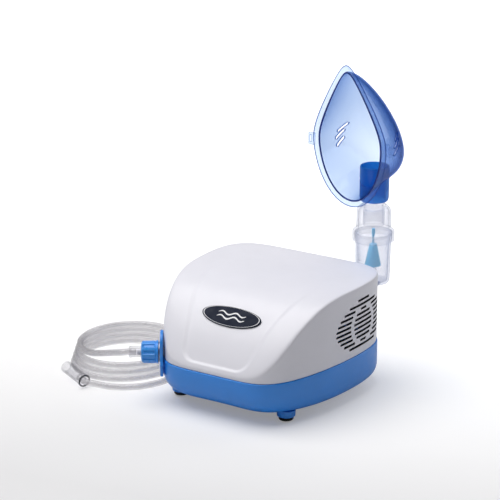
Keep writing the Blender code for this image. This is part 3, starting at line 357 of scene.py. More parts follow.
def fillet(points, radius, steps=4, closed=False):
    """The polyline with each corner rounded; radius may be one value or one for each point."""
    count = len(points)
    radii = radius if isinstance(radius, (list, tuple)) else [radius] * count
    made = []
    for i, point in enumerate(points):
        p = Vector(point)
        if (not closed and i in (0, count - 1)) or radii[i] == 0:
            made.append(p)
            continue
        a, b = Vector(points[i - 1]) - p, Vector(points[(i + 1) % count]) - p
        reach = min(radii[i], 0.45 * a.length, 0.45 * b.length)
        start, end = p + a.normalized() * reach, p + b.normalized() * reach
        for step in range(steps + 1):
            t = step / steps
            made.append(start * (1 - t) ** 2 + p * (2 * t * (1 - t)) + end * t ** 2)
    return made


def turned(name, profile, mat, place, radius=0.4, steps=64, closed=True, wave=None):
    """Revolve (r, z) points about place's Z. wave(r, z, turn) may change the radius."""
    points = fillet(profile, radius, 3, closed)
    bm = bmesh.new()
    rows = []
    for turn in circle(steps):
        row = []
        for r, z in points:
            if r < 1e-6:
                row.append(None)
                continue
            out = wave(r, z, turn) if wave else r
            row.append(bm.verts.new(place @ Vector((out * math.cos(turn), out * math.sin(turn), z))))
        rows.append(row)
    poles = {i: bm.verts.new(place @ Vector((0, 0, z))) for i, (r, z) in enumerate(points) if r < 1e-6}
    pairs = [(i, i + 1) for i in range(len(points) - 1)] + ([(len(points) - 1, 0)] if closed else [])
    for i in range(steps):
        here, there = rows[i], rows[(i + 1) % steps]
        for a, b in pairs:
            ends = ((here, a), (there, a), (there, b), (here, b))
            corners = list(dict.fromkeys(row[k] or poles[k] for row, k in ends))
            if len(corners) > 2:
                bm.faces.new(corners)
    return finish_mesh(name, bm, mat)


def block(name, size, place, mat=None, edge=0.0, turn=0.0):
    """A box with rounded edges; without a material it is a cutting tool."""
    bm = bmesh.new()
    bmesh.ops.create_cube(bm, size=1.0)
    matrix = Matrix.Translation(place) @ Matrix.Rotation(turn, 4, "Z") @ Matrix.Diagonal((*size, 1.0))
    bmesh.ops.transform(bm, matrix=matrix, verts=bm.verts)
    obj = finish_mesh(name, bm, *([mat] if mat else []))
    if edge:
        round_edges(obj, edge)
    return obj


def drum(name, radius, length, place, steps=64):
    """A cylinder tool along place's Z, centred."""
    bm = bmesh.new()
    bmesh.ops.create_cone(bm, cap_ends=True, segments=steps, radius1=radius, radius2=radius, depth=length)
    bmesh.ops.transform(bm, matrix=place, verts=bm.verts)
    return finish_mesh(name, bm)


def along_y(x, y, z):
    return Matrix.Translation((x, y, z)) @ Matrix.Rotation(math.radians(-90), 4, "X")


def upright(x, y, z=0.0):
    return Matrix.Translation((x, y, z))


def grid_mesh(bm, rows, wrap=True, cap_first=False, cap_last=False, material_of=None):
    made = [[bm.verts.new(p) for p in row] for row in rows]
    count = len(made[0])
    for r, (lower, upper) in enumerate(zip(made, made[1:])):
        for i in range(count if wrap else count - 1):
            j = (i + 1) % count
            face = bm.faces.new((lower[i], lower[j], upper[j], upper[i]))
            if material_of:
                face.material_index = material_of(r)
    for wanted, row in ((cap_first, made[0]), (cap_last, made[-1])):
        if wanted:
            middle = bm.verts.new(sum((v.co for v in row), Vector()) / count)
            for i in range(count):
                bm.faces.new((row[i], row[(i + 1) % count], middle))


def spline_through(points, steps):
    knots = [Vector(p) for p in points]
    knots = [2 * knots[0] - knots[1], *knots, 2 * knots[-1] - knots[-2]]
    path = []
    for a, b, c, d in zip(knots, knots[1:], knots[2:], knots[3:]):
        for i in range(steps):
            t = i / steps
            path.append(0.5 * ((2 * b) + (c - a) * t + (2 * a - 5 * b + 4 * c - d) * t * t
                               + (3 * b - a - 3 * c + d) * t ** 3))
    path.append(knots[-2])
    return path


def pipe(name, path, outer, inner, mat):
    """A hollow pipe along a path, open at both ends, with its rings kept from twisting."""
    bm = bmesh.new()
    path = [Vector(p) for p in path]
    across = (path[1] - path[0]).orthogonal().normalized()
    stations = []
    for i, point in enumerate(path):
        before, after = path[max(0, i - 1)], path[min(len(path) - 1, i + 1)]
        way = (after - before).normalized()
        across = (across - way * across.dot(way)).normalized()
        stations.append((point, across.copy(), way.cross(across)))
    skins = [[[p + (a * math.cos(t) + b * math.sin(t)) * radius for t in circle(24)]
              for p, a, b in stations] for radius in (outer, inner)]
    grid_mesh(bm, [*skins[0], *reversed(skins[1]), skins[0][0]])
    return finish_mesh(name, bm, mat)


def smoothstep(low, high, value):
    t = max(0.0, min(1.0, (value - low) / (high - low)))
    return t * t * (3 - 2 * t)


# ---- housing form

def plan_unit(angle):
    c, s = math.cos(angle), math.sin(angle)
    reach = (abs(c) ** PLAN_POWER + abs(s) ** PLAN_POWER) ** (-1 / PLAN_POWER)
    return c * reach, s * reach


def plan_point(angle):
    u, v = plan_unit(angle)
    return (HALF_WIDTH + PLAN_TAPER * v - PLAN_BELLY * v * v) * u, HALF_DEPTH * v


def front_weight(angle):
    return max(0.0, -plan_unit(angle)[1]) ** 2


def cover_height(y):
    from_front = y + HALF_DEPTH
    fall = max(0.0, 1 - from_front / CREST_FROM_FRONT)
    rise = (1 - fall ** FRONT_RISE_POWER) ** (1 / FRONT_RISE_ROOT)
    beyond = max(0.0, (from_front - CREST_FROM_FRONT) / (2 * HALF_DEPTH - CREST_FROM_FRONT))
    return FRONT_LIP + (CREST_HEIGHT - FRONT_LIP) * rise - REAR_FALL * beyond ** 2


def cover_point(angle, reach):
    x, y = (reach * value for value in plan_point(angle))
    weight = front_weight(angle)
    drop = SHOULDER_DROP + (FRONT_DROP - SHOULDER_DROP) * weight
    power = SHOULDER_POWER + (FRONT_SHOULDER_POWER - SHOULDER_POWER) * weight
    edge = (1 - min(1.0, reach) ** power) ** (1 / power)
    return x, y, SEAM_Z + cover_height(y) - drop * (1 - edge)


def surface_z(x, y):
    """Height of the cover's outer surface over (x, y)."""
    angle = math.atan2(y / HALF_DEPTH, x / HALF_WIDTH)
    for _ in range(5):
        px, py = plan_point(angle)
        angle += math.atan2(y, x) - math.atan2(py, px)
    px, py = plan_point(angle)
    return cover_point(angle, min(1.0, math.hypot(x, y) / math.hypot(px, py)))[2]


def panel_fade(y):
    return 1 - smoothstep(*PANEL_FADE, y)


def panel_recess(x, y, z):
    """How far the front panel is let into the cover at a point of its surface."""
    back = max(0.0, min(1.0, (PANEL_TOP_Y - y) / 94.0))
    side_room = PANEL_TOP_HALF * (1 - 0.40 * back ** 1.5) - abs(x)
    bottom_room = z - PANEL_BOTTOM_Z
    if side_room < PANEL_CORNER and bottom_room < PANEL_CORNER:
        room = PANEL_CORNER - math.hypot(PANEL_CORNER - side_room, PANEL_CORNER - bottom_room)
    else:
        room = min(side_room, bottom_room)
    return PANEL_DEPTH * smoothstep(0.0, PANEL_EDGE, room) * panel_fade(y)


def outward_of(angle, reach):
    """Outward direction of the cover's surface."""
    p = Vector(cover_point(angle, reach))
    du = Vector(cover_point(angle + 0.004, reach)) - Vector(cover_point(angle - 0.004, reach))
    dv = Vector(cover_point(angle, max(0.002, reach - 0.004))) - p
    way = du.cross(dv)
    if way.length < 1e-9:
        return Vector((0, 0, 1))
    way.normalize()
    return way if way.z > 0 or way.dot(Vector((p.x, p.y, 0))) > 0 else -way


def cover_rows(steps_in):
    """Rings of the outer skin from the rim at the seam to the middle of the top."""
    bottom = SEAM_Z + GAP
    rows = []
    for lift, inset in ((0.0, 0.5), (0.25, 0.15), (0.7, 0.0)):
        row = []
        for angle in ANGLES:
            x, y = plan_point(angle)
            scale = 1 - inset / math.hypot(x, y)
            row.append(Vector((x * scale, y * scale, bottom + lift)))
        rows.append(row)
    for share in (0.12, 0.3, 0.5, 0.7, 0.88):
        rows.append([Vector((*plan_point(a), bottom + 0.7 + (cover_point(a, 1.0)[2] - bottom - 0.7) * share))
                     for a in ANGLES])
    for step in range(steps_in):
        t = step / steps_in
        reach = math.sin(math.pi / 2 * (1 - t)) ** 0.55
        row = []
        for angle in ANGLES:
            p = Vector(cover_point(angle, reach))
            depth = panel_recess(*p)
            row.append(p - outward_of(angle, reach) * depth if depth > 0.001 else p)
        rows.append(row)
    return rows


def plan_walk():
    """Outline points of the right side and rear with their distance from the vents' middle."""
    points = [plan_point(math.radians(-30 + 0.5 * i)) for i in range(260)]
    side = [i for i, (x, y) in enumerate(points) if x > 60]
    best = min(side, key=lambda i: abs(points[i][1] - VENT_MIDDLE_Y))
    lengths = [0.0]
    for a, b in zip(points, points[1:]):
        lengths.append(lengths[-1] + math.dist(a, b))
    return points, [length - lengths[best] for length in lengths]


def vent_spans():
    """(start, end, height) of each slot, as distances along the wall from the patch's middle."""
    spans = []
    for row in range(VENT_ROWS):
        rise = (row - VENT_MIDDLE_ROW) * VENT_PITCH
        outer = VENT_HALF_LENGTH * (1 - abs(rise / VENT_HALF_RISE) ** VENT_SHAPE) ** (1 / VENT_SHAPE)
        if abs(rise) < VENT_DISC:
            half = math.sqrt(VENT_DISC ** 2 - rise ** 2)
            spans.append((-half, half, rise))
        if abs(rise) < VENT_OPEN:
            hole = math.sqrt(VENT_RING ** 2 - rise ** 2)
            spans += [(-outer, -hole, rise), (hole, outer, rise)]
        else:
            spans.append((-outer, outer, rise))
    return [(a, b, VENT_MIDDLE_Z + rise) for a, b, rise in spans if b - a > VENT_SHORTEST]


def vent_tool(bm, points, lengths, start, end, height):
    """A slot-shaped bar that follows the wall, with round ends."""
    def spot(distance):
        for (a, b), (la, lb) in zip(zip(points, points[1:]), zip(lengths, lengths[1:])):
            if la <= distance <= lb:
                t = (distance - la) / (lb - la)
                way = Vector((b[0] - a[0], b[1] - a[1], 0)).normalized()
                return Vector((a[0] + (b[0] - a[0]) * t, a[1] + (b[1] - a[1]) * t, 0)), \
                    Vector((way.y, -way.x, 0))
        raise ValueError("slot runs off the wall")
    stations = [start + VENT_SLOT * (1 - math.cos(math.pi / 8 * k)) for k in range(5)]
    inner = max(2, int((end - start) / 3))
    stations += [start + VENT_SLOT + (end - start - 2 * VENT_SLOT) * k / inner for k in range(1, inner)]
    stations += [end - VENT_SLOT * (1 - math.cos(math.pi / 8 * k)) for k in range(4, -1, -1)]
    rows = []
    for station in stations:
        near = min(station - start, end - station, VENT_SLOT)
        half = max(0.12, math.sqrt(max(0.0, VENT_SLOT ** 2 - (VENT_SLOT - near) ** 2)))
        p, out = spot(station)
        rows.append([p + out * depth + Vector((0, 0, height + side * half))
                     for depth, side in ((-5.0, -1), (3.0, -1), (3.0, 1), (-5.0, 1))])
    grid_mesh(bm, rows, True, True, True)


def make_cover():
    bm = bmesh.new()
    grid_mesh(bm, cover_rows(46), cap_last=True)
    cover = finish_mesh("cover_shell", bm, WHITE)
    thicken(cover, COVER_WALL)
    tools = bmesh.new()
    points, lengths = plan_walk()
    for start, end, height in vent_spans():
        vent_tool(tools, points, lengths, start, end, height)
    # The vent slots' cut walls take the painted shade.
    cut(cover, finish_mesh("vent_tools", tools, SLOT_SHADE))
    cut(cover, drum("filter_hole", 14.7, 14.0, along_y(FILTER_X, HALF_DEPTH, FILTER_Z)))
    cut(cover, block("socket_tool", (10.6, 12.0, 6.6), (KIT_X - HOLDER_TONGUE, 88.0, HOLDER_Z)))
    cut(cover, outlet_bore(5.6))
    sharpen(cover, 32)
    take_part(cover, "housing", "top_cover")


def base_row(z, extra=0.0):
    row = []
    for angle in ANGLES:
        x, y = plan_point(angle)
        weight = front_weight(angle)
        tuck = SIDE_TUCK + (FRONT_TUCK - SIDE_TUCK) * weight
        height = SIDE_CURVE_HEIGHT + (FRONT_CURVE_HEIGHT - SIDE_CURVE_HEIGHT) * weight
        down = min(1.0, max(0.0, (FLOOR_Z + height - z) / height))
        inset = tuck * (1 - math.sqrt(1 - down ** 2.4)) - BASE_PROUD + extra
        scale = 1 - inset / math.hypot(x, y)
        row.append(Vector((x * scale, y * scale, z)))
    return row


def outlet_matrix():
    """Frame on the ear's outer face with Z pointing out along the outlet."""
    return Matrix.Translation(OUTLET_ORIGIN) @ Matrix.Rotation(OUTLET_ANGLE, 4, "Z") \
        @ Matrix.Rotation(math.radians(90), 4, "Y")


def outlet_bore(radius):
    return drum("bore_tool", radius, 30.0, outlet_matrix() @ Matrix.Translation((0, 0, -8.0)))


def ear_plate():
    """Upright plate with a round top and a foot that flares into the tray's rim."""
    bottom, shoulder, middle_z, half, reach, flare, edge = 27.0, 56.5, 48.0, 13.0, 18.0, 3.2, 0.7
    outline = []
    for i in range(33):
        t = math.pi * i / 32
        outline.append((half * math.cos(t), shoulder + 12.0 * abs(math.sin(t)) ** 0.85))
    flank = [(half + flare * (i / 12) ** 3, shoulder - 17.0 * i / 12) for i in range(13)]
    outline += [(-side, z) for side, z in flank]
    outline += [(-half - flare, 38.0), (-half + 1.5, bottom), (half - 1.5, bottom), (half + flare, 38.0)]
    outline += flank[:0:-1]
    across = Vector((-OUTWARD.y, OUTWARD.x, 0))
    bm = bmesh.new()
    rows = []
    for depth, shrink in ((0.0, edge), (-0.2, 0.2), (-edge, 0.0), (-EAR_THICKNESS + edge, 0.0),
                          (-EAR_THICKNESS + 0.2, 0.2), (-EAR_THICKNESS, edge)):
        row = []
        for side, z in outline:
            scale = 1 - shrink / reach
            row.append(OUTLET_ORIGIN + OUTWARD * depth + across * (side * scale)
                       + Vector((0, 0, middle_z + (z - middle_z) * scale - OUTLET_ORIGIN.z)))
        rows.append(row)
    grid_mesh(bm, rows, True, True, True)
    return finish_mesh("ear_tool", bm, BLUE)


def screw_place(x, y):
    """Where the case screw next to the foot at (x, y) stands."""
    return x - math.copysign(2.0, x), y - math.copysign(16.0, y)


def make_base():
    bm = bmesh.new()
    heights = [FLOOR_Z, 8.7, 9.2, 10.0, 11.0, 12.4, 14.0, 16.0, 18.5, 21.5, 25.0, 29.0, 33.0, 38.5, 42.2]
    rows = [base_row(z) for z in heights]
    rows += [base_row(SEAM_Z - 0.4, 0.12), base_row(SEAM_Z - 0.1, 0.42), base_row(SEAM_Z, 0.9)]
    rows.append(base_row(SEAM_Z, BASE_WALL + BASE_PROUD - 0.4))
    rows += [base_row(z, BASE_WALL) for z in (36.0, 28.0, 20.0, 14.0, FLOOR_Z + BASE_WALL)]
    grid_mesh(bm, rows, True, True, True)
    tray = finish_mesh("base_shell", bm, BLUE)
    cut(tray, ear_plate(), "UNION")
    side = OUTLET_ORIGIN + OUTWARD * -4.4
    cut(tray, block("web_tool", (7.0, 19.0, 10.2), (side.x, side.y, 35.1), turn=OUTLET_ANGLE), "UNION")
    for x, y in FOOT_PLACES.values():
        cut(tray, stub_tool(x, y), "UNION")
    holes = bmesh.new()
    for x, y in FOOT_PLACES.values():
        sx, sy = screw_place(x, y)
        for radius, depth, spot in ((3.3, 3.2, (sx, sy, FLOOR_Z - 0.4)), (1.55, 16.0, (x, y, FLOOR_Z))):
            made = bmesh.ops.create_cone(holes, cap_ends=True, segments=32, radius1=radius,
                                         radius2=radius, depth=depth)
            bmesh.ops.translate(holes, vec=spot, verts=made["verts"])
    for size, spot in (((27.6, 16.0, 17.6), (INLET_X, 90.0, MAINS_Z)),
                       ((22.6, 16.0, 16.6), (SWITCH_X, 90.0, MAINS_Z))):
        made = bmesh.ops.create_cube(holes, size=1.0)
        bmesh.ops.scale(holes, vec=size, verts=made["verts"])
        bmesh.ops.translate(holes, vec=spot, verts=made["verts"])
    cut(tray, finish_mesh("tray_tools", holes))
    cut(tray, outlet_bore(4.6))
    sharpen(tray, 35)
    take_part(tray, "housing", "base_tray")


def stub_tool(x, y):
    bm = bmesh.new()
    profile = fillet([(0.0, 3.7), (8.6, 3.7), (9.0, 10.2), (0.0, 10.2)], [0, 0.8, 0, 0], 4)
    rows = [[Vector((x + r * math.cos(t), y + r * math.sin(t), z)) for t in circle(48)]
            for r, z in profile if r > 0.01]
    grid_mesh(bm, rows, True, True, True)
    return finish_mesh("stub_tool_piece", bm, BLUE)


def make_feet():
    for label, (x, y) in FOOT_PLACES.items():
        foot = turned("foot_pad_" + label, [
            (0.0, 12.6), (1.1, 12.6), (1.25, 3.4), (6.4, 3.4), (7.0, 2.6), (7.0, 0.8), (6.2, 0.0),
            (4.6, 0.0), (4.2, 0.5), (0.0, 0.5)],
            RUBBER, upright(x, y), [0, 0.3, 0.2, 0.4, 0.5, 0.4, 0.2, 0.2, 0.2, 0], 48, False)
        take_part(foot, "housing", "foot_" + label)
        sx, sy = screw_place(x, y)
        screw = turned("screw_" + label, [
            (0.0, 21.0), (0.9, 21.0), (1.5, 19.5), (1.5, 8.2), (3.0, 8.2), (2.8, 6.6), (1.6, 6.1),
            (0.0, 6.1)],
            STEEL, upright(sx, sy), [0, 0.2, 0.3, 0.1, 0.3, 0.4, 0.3, 0], 40, False, thread_wave)
        for turn in (0.0, math.pi / 2):
            cut(screw, block("cross_tool", (3.6, 0.8, 2.4), (sx, sy, 6.4), turn=turn + 0.4))
        sharpen(screw)
        take_part(screw, "housing", "case_screw_" + label)


def thread_wave(r, z, turn):
    return r + 0.12 * math.sin(turn + math.tau * z / 1.4) if 8.4 < z < 20.0 and r > 1.2 else r


# ---- badge

def badge_spot(u, w, lift):
    """A point of the badge: u across, w up the slope, lift above the panel."""
    slope = math.atan2(surface_z(0, BADGE_Y + 4) - surface_z(0, BADGE_Y - 4), 8.0)
    y = BADGE_Y + w * math.cos(slope)
    z = surface_z(u, y) - PANEL_DEPTH * panel_fade(y)
    return Vector((u, y, z)) + Vector((0, -math.sin(slope), math.cos(slope))) * lift


def make_badge():
    bm = bmesh.new()
    rows = []
    for scale, lift in ((0.985, -0.9), (1.0, 0.1), (1.0, 0.75), (0.985, 1.05), (0.955, 1.2), (0.93, 1.2),
                        (0.925, 1.05), (0.7, 1.08), (0.45, 1.12), (0.2, 1.15)):
        rows.append([badge_spot(BADGE_A * scale * math.cos(t), BADGE_B * scale * math.sin(t), lift)
                     for t in circle(128)])
    grid_mesh(bm, rows, True, True, True, lambda r: 1 if r == 4 else 0)
    plate = finish_mesh("badge_plate", bm, NAVY, EMBLEM)
    take_part(plate, "housing", "badge")
    bm = bmesh.new()
    reach = 15.0
    for offset in (2.3, -2.3):
        rows = []
        for k in range(49):
            u = -reach + 2 * reach * k / 48
            w = offset + 1.5 * math.sin(u * 0.42)
            taper = 0.25 + 0.55 * math.sqrt(max(0.0, 1 - (u / reach) ** 2))
            rows.append([badge_spot(u, w - taper, 0.9), badge_spot(u, w - taper, 1.3),
                         badge_spot(u, w + taper, 1.3), badge_spot(u, w + taper, 0.9)])
        grid_mesh(bm, rows, True, True, True)
    emblem = finish_mesh("badge_emblem", bm, EMBLEM)
    take_part(emblem, "housing")


# ---- outlet and tube

def outlet_spot(out, up=0.0):
    return OUTLET_ORIGIN + OUTWARD * out + Vector((0, 0, up))


def nut_wave(r, z, turn):
    """Broad flutes round the nut's barrel."""
    if r < 8.0 or z < 4.6 or z > 16.6:
        return r
    ends = min(1.0, (z - 4.6) / 1.2, (16.6 - z) / 1.2)
    return r - 1.0 * smoothstep(-0.25, 0.35, math.cos(10 * turn)) * smoothstep(0.0, 1.0, ends)


def make_outlet():
    place = outlet_matrix()
    nozzle = turned("outlet_spigot", [
        (2.7, 22.0), (3.15, 19.0), (3.1, 10.2), (6.4, 10.0), (6.4, 2.4), (4.2, 2.2), (4.2, -7.8),
        (6.5, -7.9), (6.5, -9.4), (2.6, -9.5), (2.4, -20.0), (1.5, -20.0), (1.5, 22.0)],
        WHITE, place, 0.3, 48)
    take_part(nozzle, "housing", "outlet_nozzle")
    washer = turned("washer_ring", [(9.7, 1.4), (9.8, 0.9), (9.7, 0.4), (6.8, 0.4), (6.8, 1.4)], STEEL,
                    place, 0.15, 64)
    take_part(washer, "outlet_washer", "nut_washer")
    barrel = [(10.7 - 0.02 * z, z) for z in (16.6, 15.8, 15.4, 14.0, 12.0, 10.0, 8.0, 6.0, 5.6, 4.9)]
    nut = turned("nut_fluted", [
        (8.2, 18.0), (9.7, 17.4), *barrel, (10.1, 4.5), (10.0, 4.1), (11.0, 3.7), (11.0, 1.9), (6.9, 1.8),
        (6.9, 13.4), (5.5, 13.8), (5.5, 18.0)],
        NUT_BLUE, place, [0.3, 0.5] + [0] * len(barrel) + [0.1, 0.2, 0.3, 0.3, 0.2, 0.3, 0.3, 0.4], 160,
        wave=nut_wave)
    take_part(nut, "outlet_nut", "outlet_nut")
    cuff = turned("cuff_outlet", [
        (4.5, 29.5), (5.4, 29.0), (5.4, 27.4), (5.0, 27.0), (5.0, 14.2), (4.7, 11.4), (3.45, 11.4),
        (3.45, 29.5)], CUFF_CLEAR, place, 0.35, 48)
    take_part(cuff, "tubing", "tube_cuff_outlet")


def coil_point(turns):
    """Point of the stacked loops, which widen and drift away from the housing on the way down."""
    angle = OUTLET_ANGLE - math.tau * turns
    share = turns / COIL_TURNS
    radius = COIL_TOP_RADIUS + (COIL_BOTTOM_RADIUS - COIL_TOP_RADIUS) * share
    return Vector((COIL_CENTRE[0] + COIL_DRIFT * (0.5 - share) + radius * math.cos(angle),
                   COIL_CENTRE[1] + (radius + COIL_STRETCH) * math.sin(angle),
                   COIL_FLOOR_Z + COIL_PITCH * (COIL_TURNS - turns)))


def make_tube():
    lead_in = [outlet_spot(30.0), outlet_spot(38.0, -0.6), (-129.0, -88.5, 37.5), (-150.5, -78.0, 30.8),
               (-169.5, -65.5, 27.8), coil_point(0.0)]
    path = [outlet_spot(22.9), outlet_spot(26.0)] + spline_through(lead_in, 12)[:-1]
    path += [coil_point(COIL_TURNS * i / 224) for i in range(224)]
    tail = [coil_point(COIL_TURNS), (-86.8, -18.0, 3.4), (-85.5, -44.0, 3.4), (-97.0, -68.0, 3.4),
            (-118.0, -83.0, 3.4), FREE_CUFF_START - FREE_CUFF_WAY * 3.0]
    path += spline_through(tail, 14)
    path.append(FREE_CUFF_START + FREE_CUFF_WAY * 9.0)
    tube = pipe("tube_coil", path, 3.1, 1.9, TUBE_CLEAR)
    take_part(tube, "tubing", "air_tube")
    place = Matrix.Translation(FREE_CUFF_START) @ FREE_CUFF_WAY.to_track_quat("Z", "Y").to_matrix().to_4x4()
    cuff = turned("cuff_free", [
        (5.2, 34.0), (5.8, 33.2), (5.6, 14.0), (5.6, 3.2), (6.1, 2.8), (6.1, 0.8), (5.4, 0.0), (3.45, 0.0),
        (3.45, 10.0), (4.45, 12.0), (4.45, 34.0)], CUFF_CLEAR, place, 0.35, 64)
    take_part(cuff, "tubing", "tube_cuff_free")
    # A dark ring at the cuff's mouth: painted shade where the tube enters the cuff.
    shade_band = turned("cuff_shade_band", [
        (6.0, 0.5), (6.25, 0.2), (6.25, -0.5), (5.9, -0.8), (5.0, -0.8), (5.0, 0.1), (5.4, 0.1)],
        CUFF_SHADE_BAND, place, 0.2, 48)
    take_part(shade_band, "tubing")


# ---- rear fittings

def make_rear():
    x, z = SWITCH_X, MAINS_Z
    bezel = block("switch_bezel", (25.4, 2.0, 19.4), (x, REAR + 1.4, z), BLACK, 0.6)
    cut(bezel, block("tool", (22.0, 19.0, 16.0), (x, REAR - 8.6, z)), "UNION")
    cut(bezel, block("tool", (19.4, 15.0, 13.4), (x, REAR - 4.0, z)))
    sharpen(bezel)
    take_part(bezel, "housing", "switch_housing")
    outline = fillet([(-8.4, 4.2), (0.0, 3.0), (8.4, 6.0), (8.0, -1.0), (4.0, -4.4), (-4.0, -4.4),
                      (-8.0, -1.0)], [0.5, 3.0, 0.6, 1.0, 1.5, 1.5, 1.0], 5, True)
    bm = bmesh.new()
    rows = [[Vector((x + p.x * scale, REAR - 3.0 + p.y * scale, z + height)) for p in outline]
            for height, scale in ((-6.2, 0.96), (-6.0, 0.985), (-5.7, 1.0), (5.7, 1.0), (6.0, 0.985),
                                  (6.2, 0.96))]
    grid_mesh(bm, rows, True, True, True)
    rocker = finish_mesh("rocker_cap", bm, BLACK)
    take_part(rocker, "rocker", "power_rocker")
    x = INLET_X
    inlet = block("inlet_shell", (30.4, 2.0, 20.4), (x, REAR + 1.4, z), BLACK, 0.6)
    cut(inlet, block("tool", (27.0, 20.0, 17.0), (x, REAR - 9.0, z)), "UNION")
    well = bmesh.new()
    ring = fillet([(-10.3, -5.2), (10.3, -5.2), (10.3, 5.2), (-10.3, 5.2)], 4.6, 8, True)
    grid_mesh(well, [[Vector((x + p.x, REAR + d, z + p.y)) for p in ring] for d in (-13.0, 5.0)],
              True, True, True)
    cut(inlet, finish_mesh("tool", well))
    for side, label in ((-1, "left"), (1, "right")):
        cut(inlet, drum("tool", 1.6, 30.0, along_y(x + side * PIN_OFFSET, REAR - 14.0, z), 32))
        pin = turned("pin_" + label, [(0.0, 24.0), (0.8, 24.0), (1.25, 22.6), (1.25, 0.0), (0.0, 0.0)],
                     BRASS, along_y(x + side * PIN_OFFSET, REAR - 24.0, z), [0, 0.4, 0.6, 0.1, 0], 32, False)
        take_part(pin, "housing", "inlet_pin_" + label)
    sharpen(inlet)
    take_part(inlet, "housing", "power_inlet")
    place = along_y(FILTER_X, HALF_DEPTH, FILTER_Z)
    cap = turned("filter_knob", [
        (0.0, 4.6), (9.0, 4.4), (12.8, 3.2), (14.2, 1.2), (14.2, -7.0), (12.6, -7.0), (12.6, 1.2),
        (0.0, 2.0)],
        WHITE, place, [0, 1.5, 1.0, 0.6, 0.3, 0.3, 0.4, 0], 96, False)
    for offset in (-6.0, -2.0, 2.0, 6.0):
        cut(cap, block("tool", (1.8, 3.0, 9.0), (FILTER_X + offset, HALF_DEPTH + 5.0, FILTER_Z)))
    sharpen(cap)
    take_part(cap, "filter", "filter_cap")
    felt = turned("filter_pad", [(0.0, 0.9), (11.6, 0.7), (12.2, 0.0), (12.2, -3.6), (0.0, -3.6)], FELT,
                  place, [0, 0.4, 0.4, 0.5, 0], 64, False)
    take_part(felt, "filter", "filter_felt")


def make_holder():
    pad = block("holder_pad", (20.0, 3.0, 18.0), (KIT_X - 6.0, HOLDER_Y, HOLDER_Z), WHITE, 0.8)
    cut(pad, block("tool", (9.8, 9.0, 5.8), (KIT_X - HOLDER_TONGUE, HOLDER_Y - 5.0, HOLDER_Z)), "UNION")
    cut(pad, block("tool", (13.0, 24.0, 3.0), (KIT_X, HOLDER_Y + 11.0, 84.1), WHITE, 0.7), "UNION")
    for tool in (block("tool", (7.4, 20.0, 8.0), (KIT_X, KIT_Y + 10.0, 85.0)),
                 drum("tool", 3.7, 8.0, upright(KIT_X, KIT_Y, 85.0), 48)):
        cut(pad, tool)
    sharpen(pad)
    take_part(pad, "housing", "kit_holder")


# ---- medicine cup

def collar_wave(r, z, turn):
    """Fine grip ribs round the collar's skirt."""
    return r - 0.35 * smoothstep(-0.2, 0.6, math.cos(36 * turn)) if r > 20.0 and 129.2 < z < 137.6 else r


def make_kit():
    place = upright(KIT_X, KIT_Y)
    cup = turned("cup_clear", [
        (18.0, 133.5), (18.0, 128.0), (17.3, 126.6), (16.6, 88.5), (15.4, 86.0), (3.2, 86.0), (2.9, 70.0),
        (1.6, 70.0), (1.5, 86.0), (0.8, 112.0), (2.0, 112.0), (4.6, 90.0), (5.8, 88.2), (14.6, 88.2),
        (15.6, 126.0), (16.4, 128.0), (16.4, 133.5)], CUP_CLEAR, place, 0.5, 96)
    take_part(cup, "cup", "nebulizer_cup")
    foot_radius, foot_z = CUP_WALL_FOOT
    bm = bmesh.new()
    for index, height in enumerate((96.0, 101.0, 106.0, 111.0, 116.0)):
        half = 0.34 if index % 2 else 0.20
        rows = []
        for k in range(17):
            turn = math.radians(-112) - half / 2 + half * k / 16
            radius = foot_radius + CUP_WALL_TOP * (height - foot_z) / CUP_WALL_RISE
            rows.append([Vector((KIT_X + r * math.cos(turn), KIT_Y + r * math.sin(turn), height + dz))
                         for r, dz in ((radius - 0.2, -0.3), (radius + 0.28, -0.12), (radius + 0.28, 0.12),
                                       (radius - 0.2, 0.3))])
        grid_mesh(bm, rows, True, True, True)
    marks = finish_mesh("cup_level_marks", bm, CUFF_CLEAR)
    take_part(marks, "cup")
    baffle = turned("cone_baffle", [
        (0.0, 140.0), (1.2, 140.0), (1.7, 139.2), (1.7, 134.0), (1.1, 133.4), (1.1, 125.0), (3.6, 124.4),
        (8.0, 102.5), (6.8, 102.5), (2.6, 122.0), (0.0, 122.4)], CONE_BLUE, place,
        [0, 0.4, 0.3, 0.3, 0.2, 0.3, 0.6, 0.3, 0.3, 0.5, 0], 64, False)
    take_part(baffle, "baffle", "nebulizer_baffle")
    seal = turned("seal_ring", [
        (17.4, 136.4), (18.2, 135.6), (18.2, 134.6), (17.4, 133.8), (16.7, 133.8), (16.7, 136.4)],
        SEAL_MILKY, place, 0.25, 80)
    take_part(seal, "seal", "top_seal")
    top = turned("chamber_clear", [
        (10.6, 176.0), (10.9, 163.6), (13.6, 162.7), (15.9, 160.6), (16.6, 157.6), (16.9, 139.4),
        (19.6, 138.9), (20.4, 137.9), (20.4, 128.5), (18.5, 128.5), (18.5, 136.9), (15.4, 136.9),
        (15.1, 157.4), (13.9, 160.0), (10.4, 161.2), (10.4, 144.0), (9.2, 144.0), (9.2, 176.0)],
        CLEAR, place, 0.5, 144, wave=collar_wave)
    take_part(top, "chamber", "nebulizer_top")
    port = turned("port_socket", [
        (13.8, 203.0), (14.2, 201.5), (14.2, 172.0), (13.6, 169.4), (12.8, 168.3), (11.4, 168.3),
        (11.4, 178.0), (12.6, 179.0), (12.6, 203.0)], PORT_BLUE, place, 0.4, 80)
    take_part(port, "port", "mask_port")


# ---- mask

def mask_half_width(angle):
    c = math.cos(angle)
    return math.sin(angle) * (1 - 0.29 * (math.sqrt(c * c + 0.02) - c))


def mask_flange_y(z):
    return MASK_FLANGE_Y + MASK_FLANGE_SLOPE * (z - 230.0)


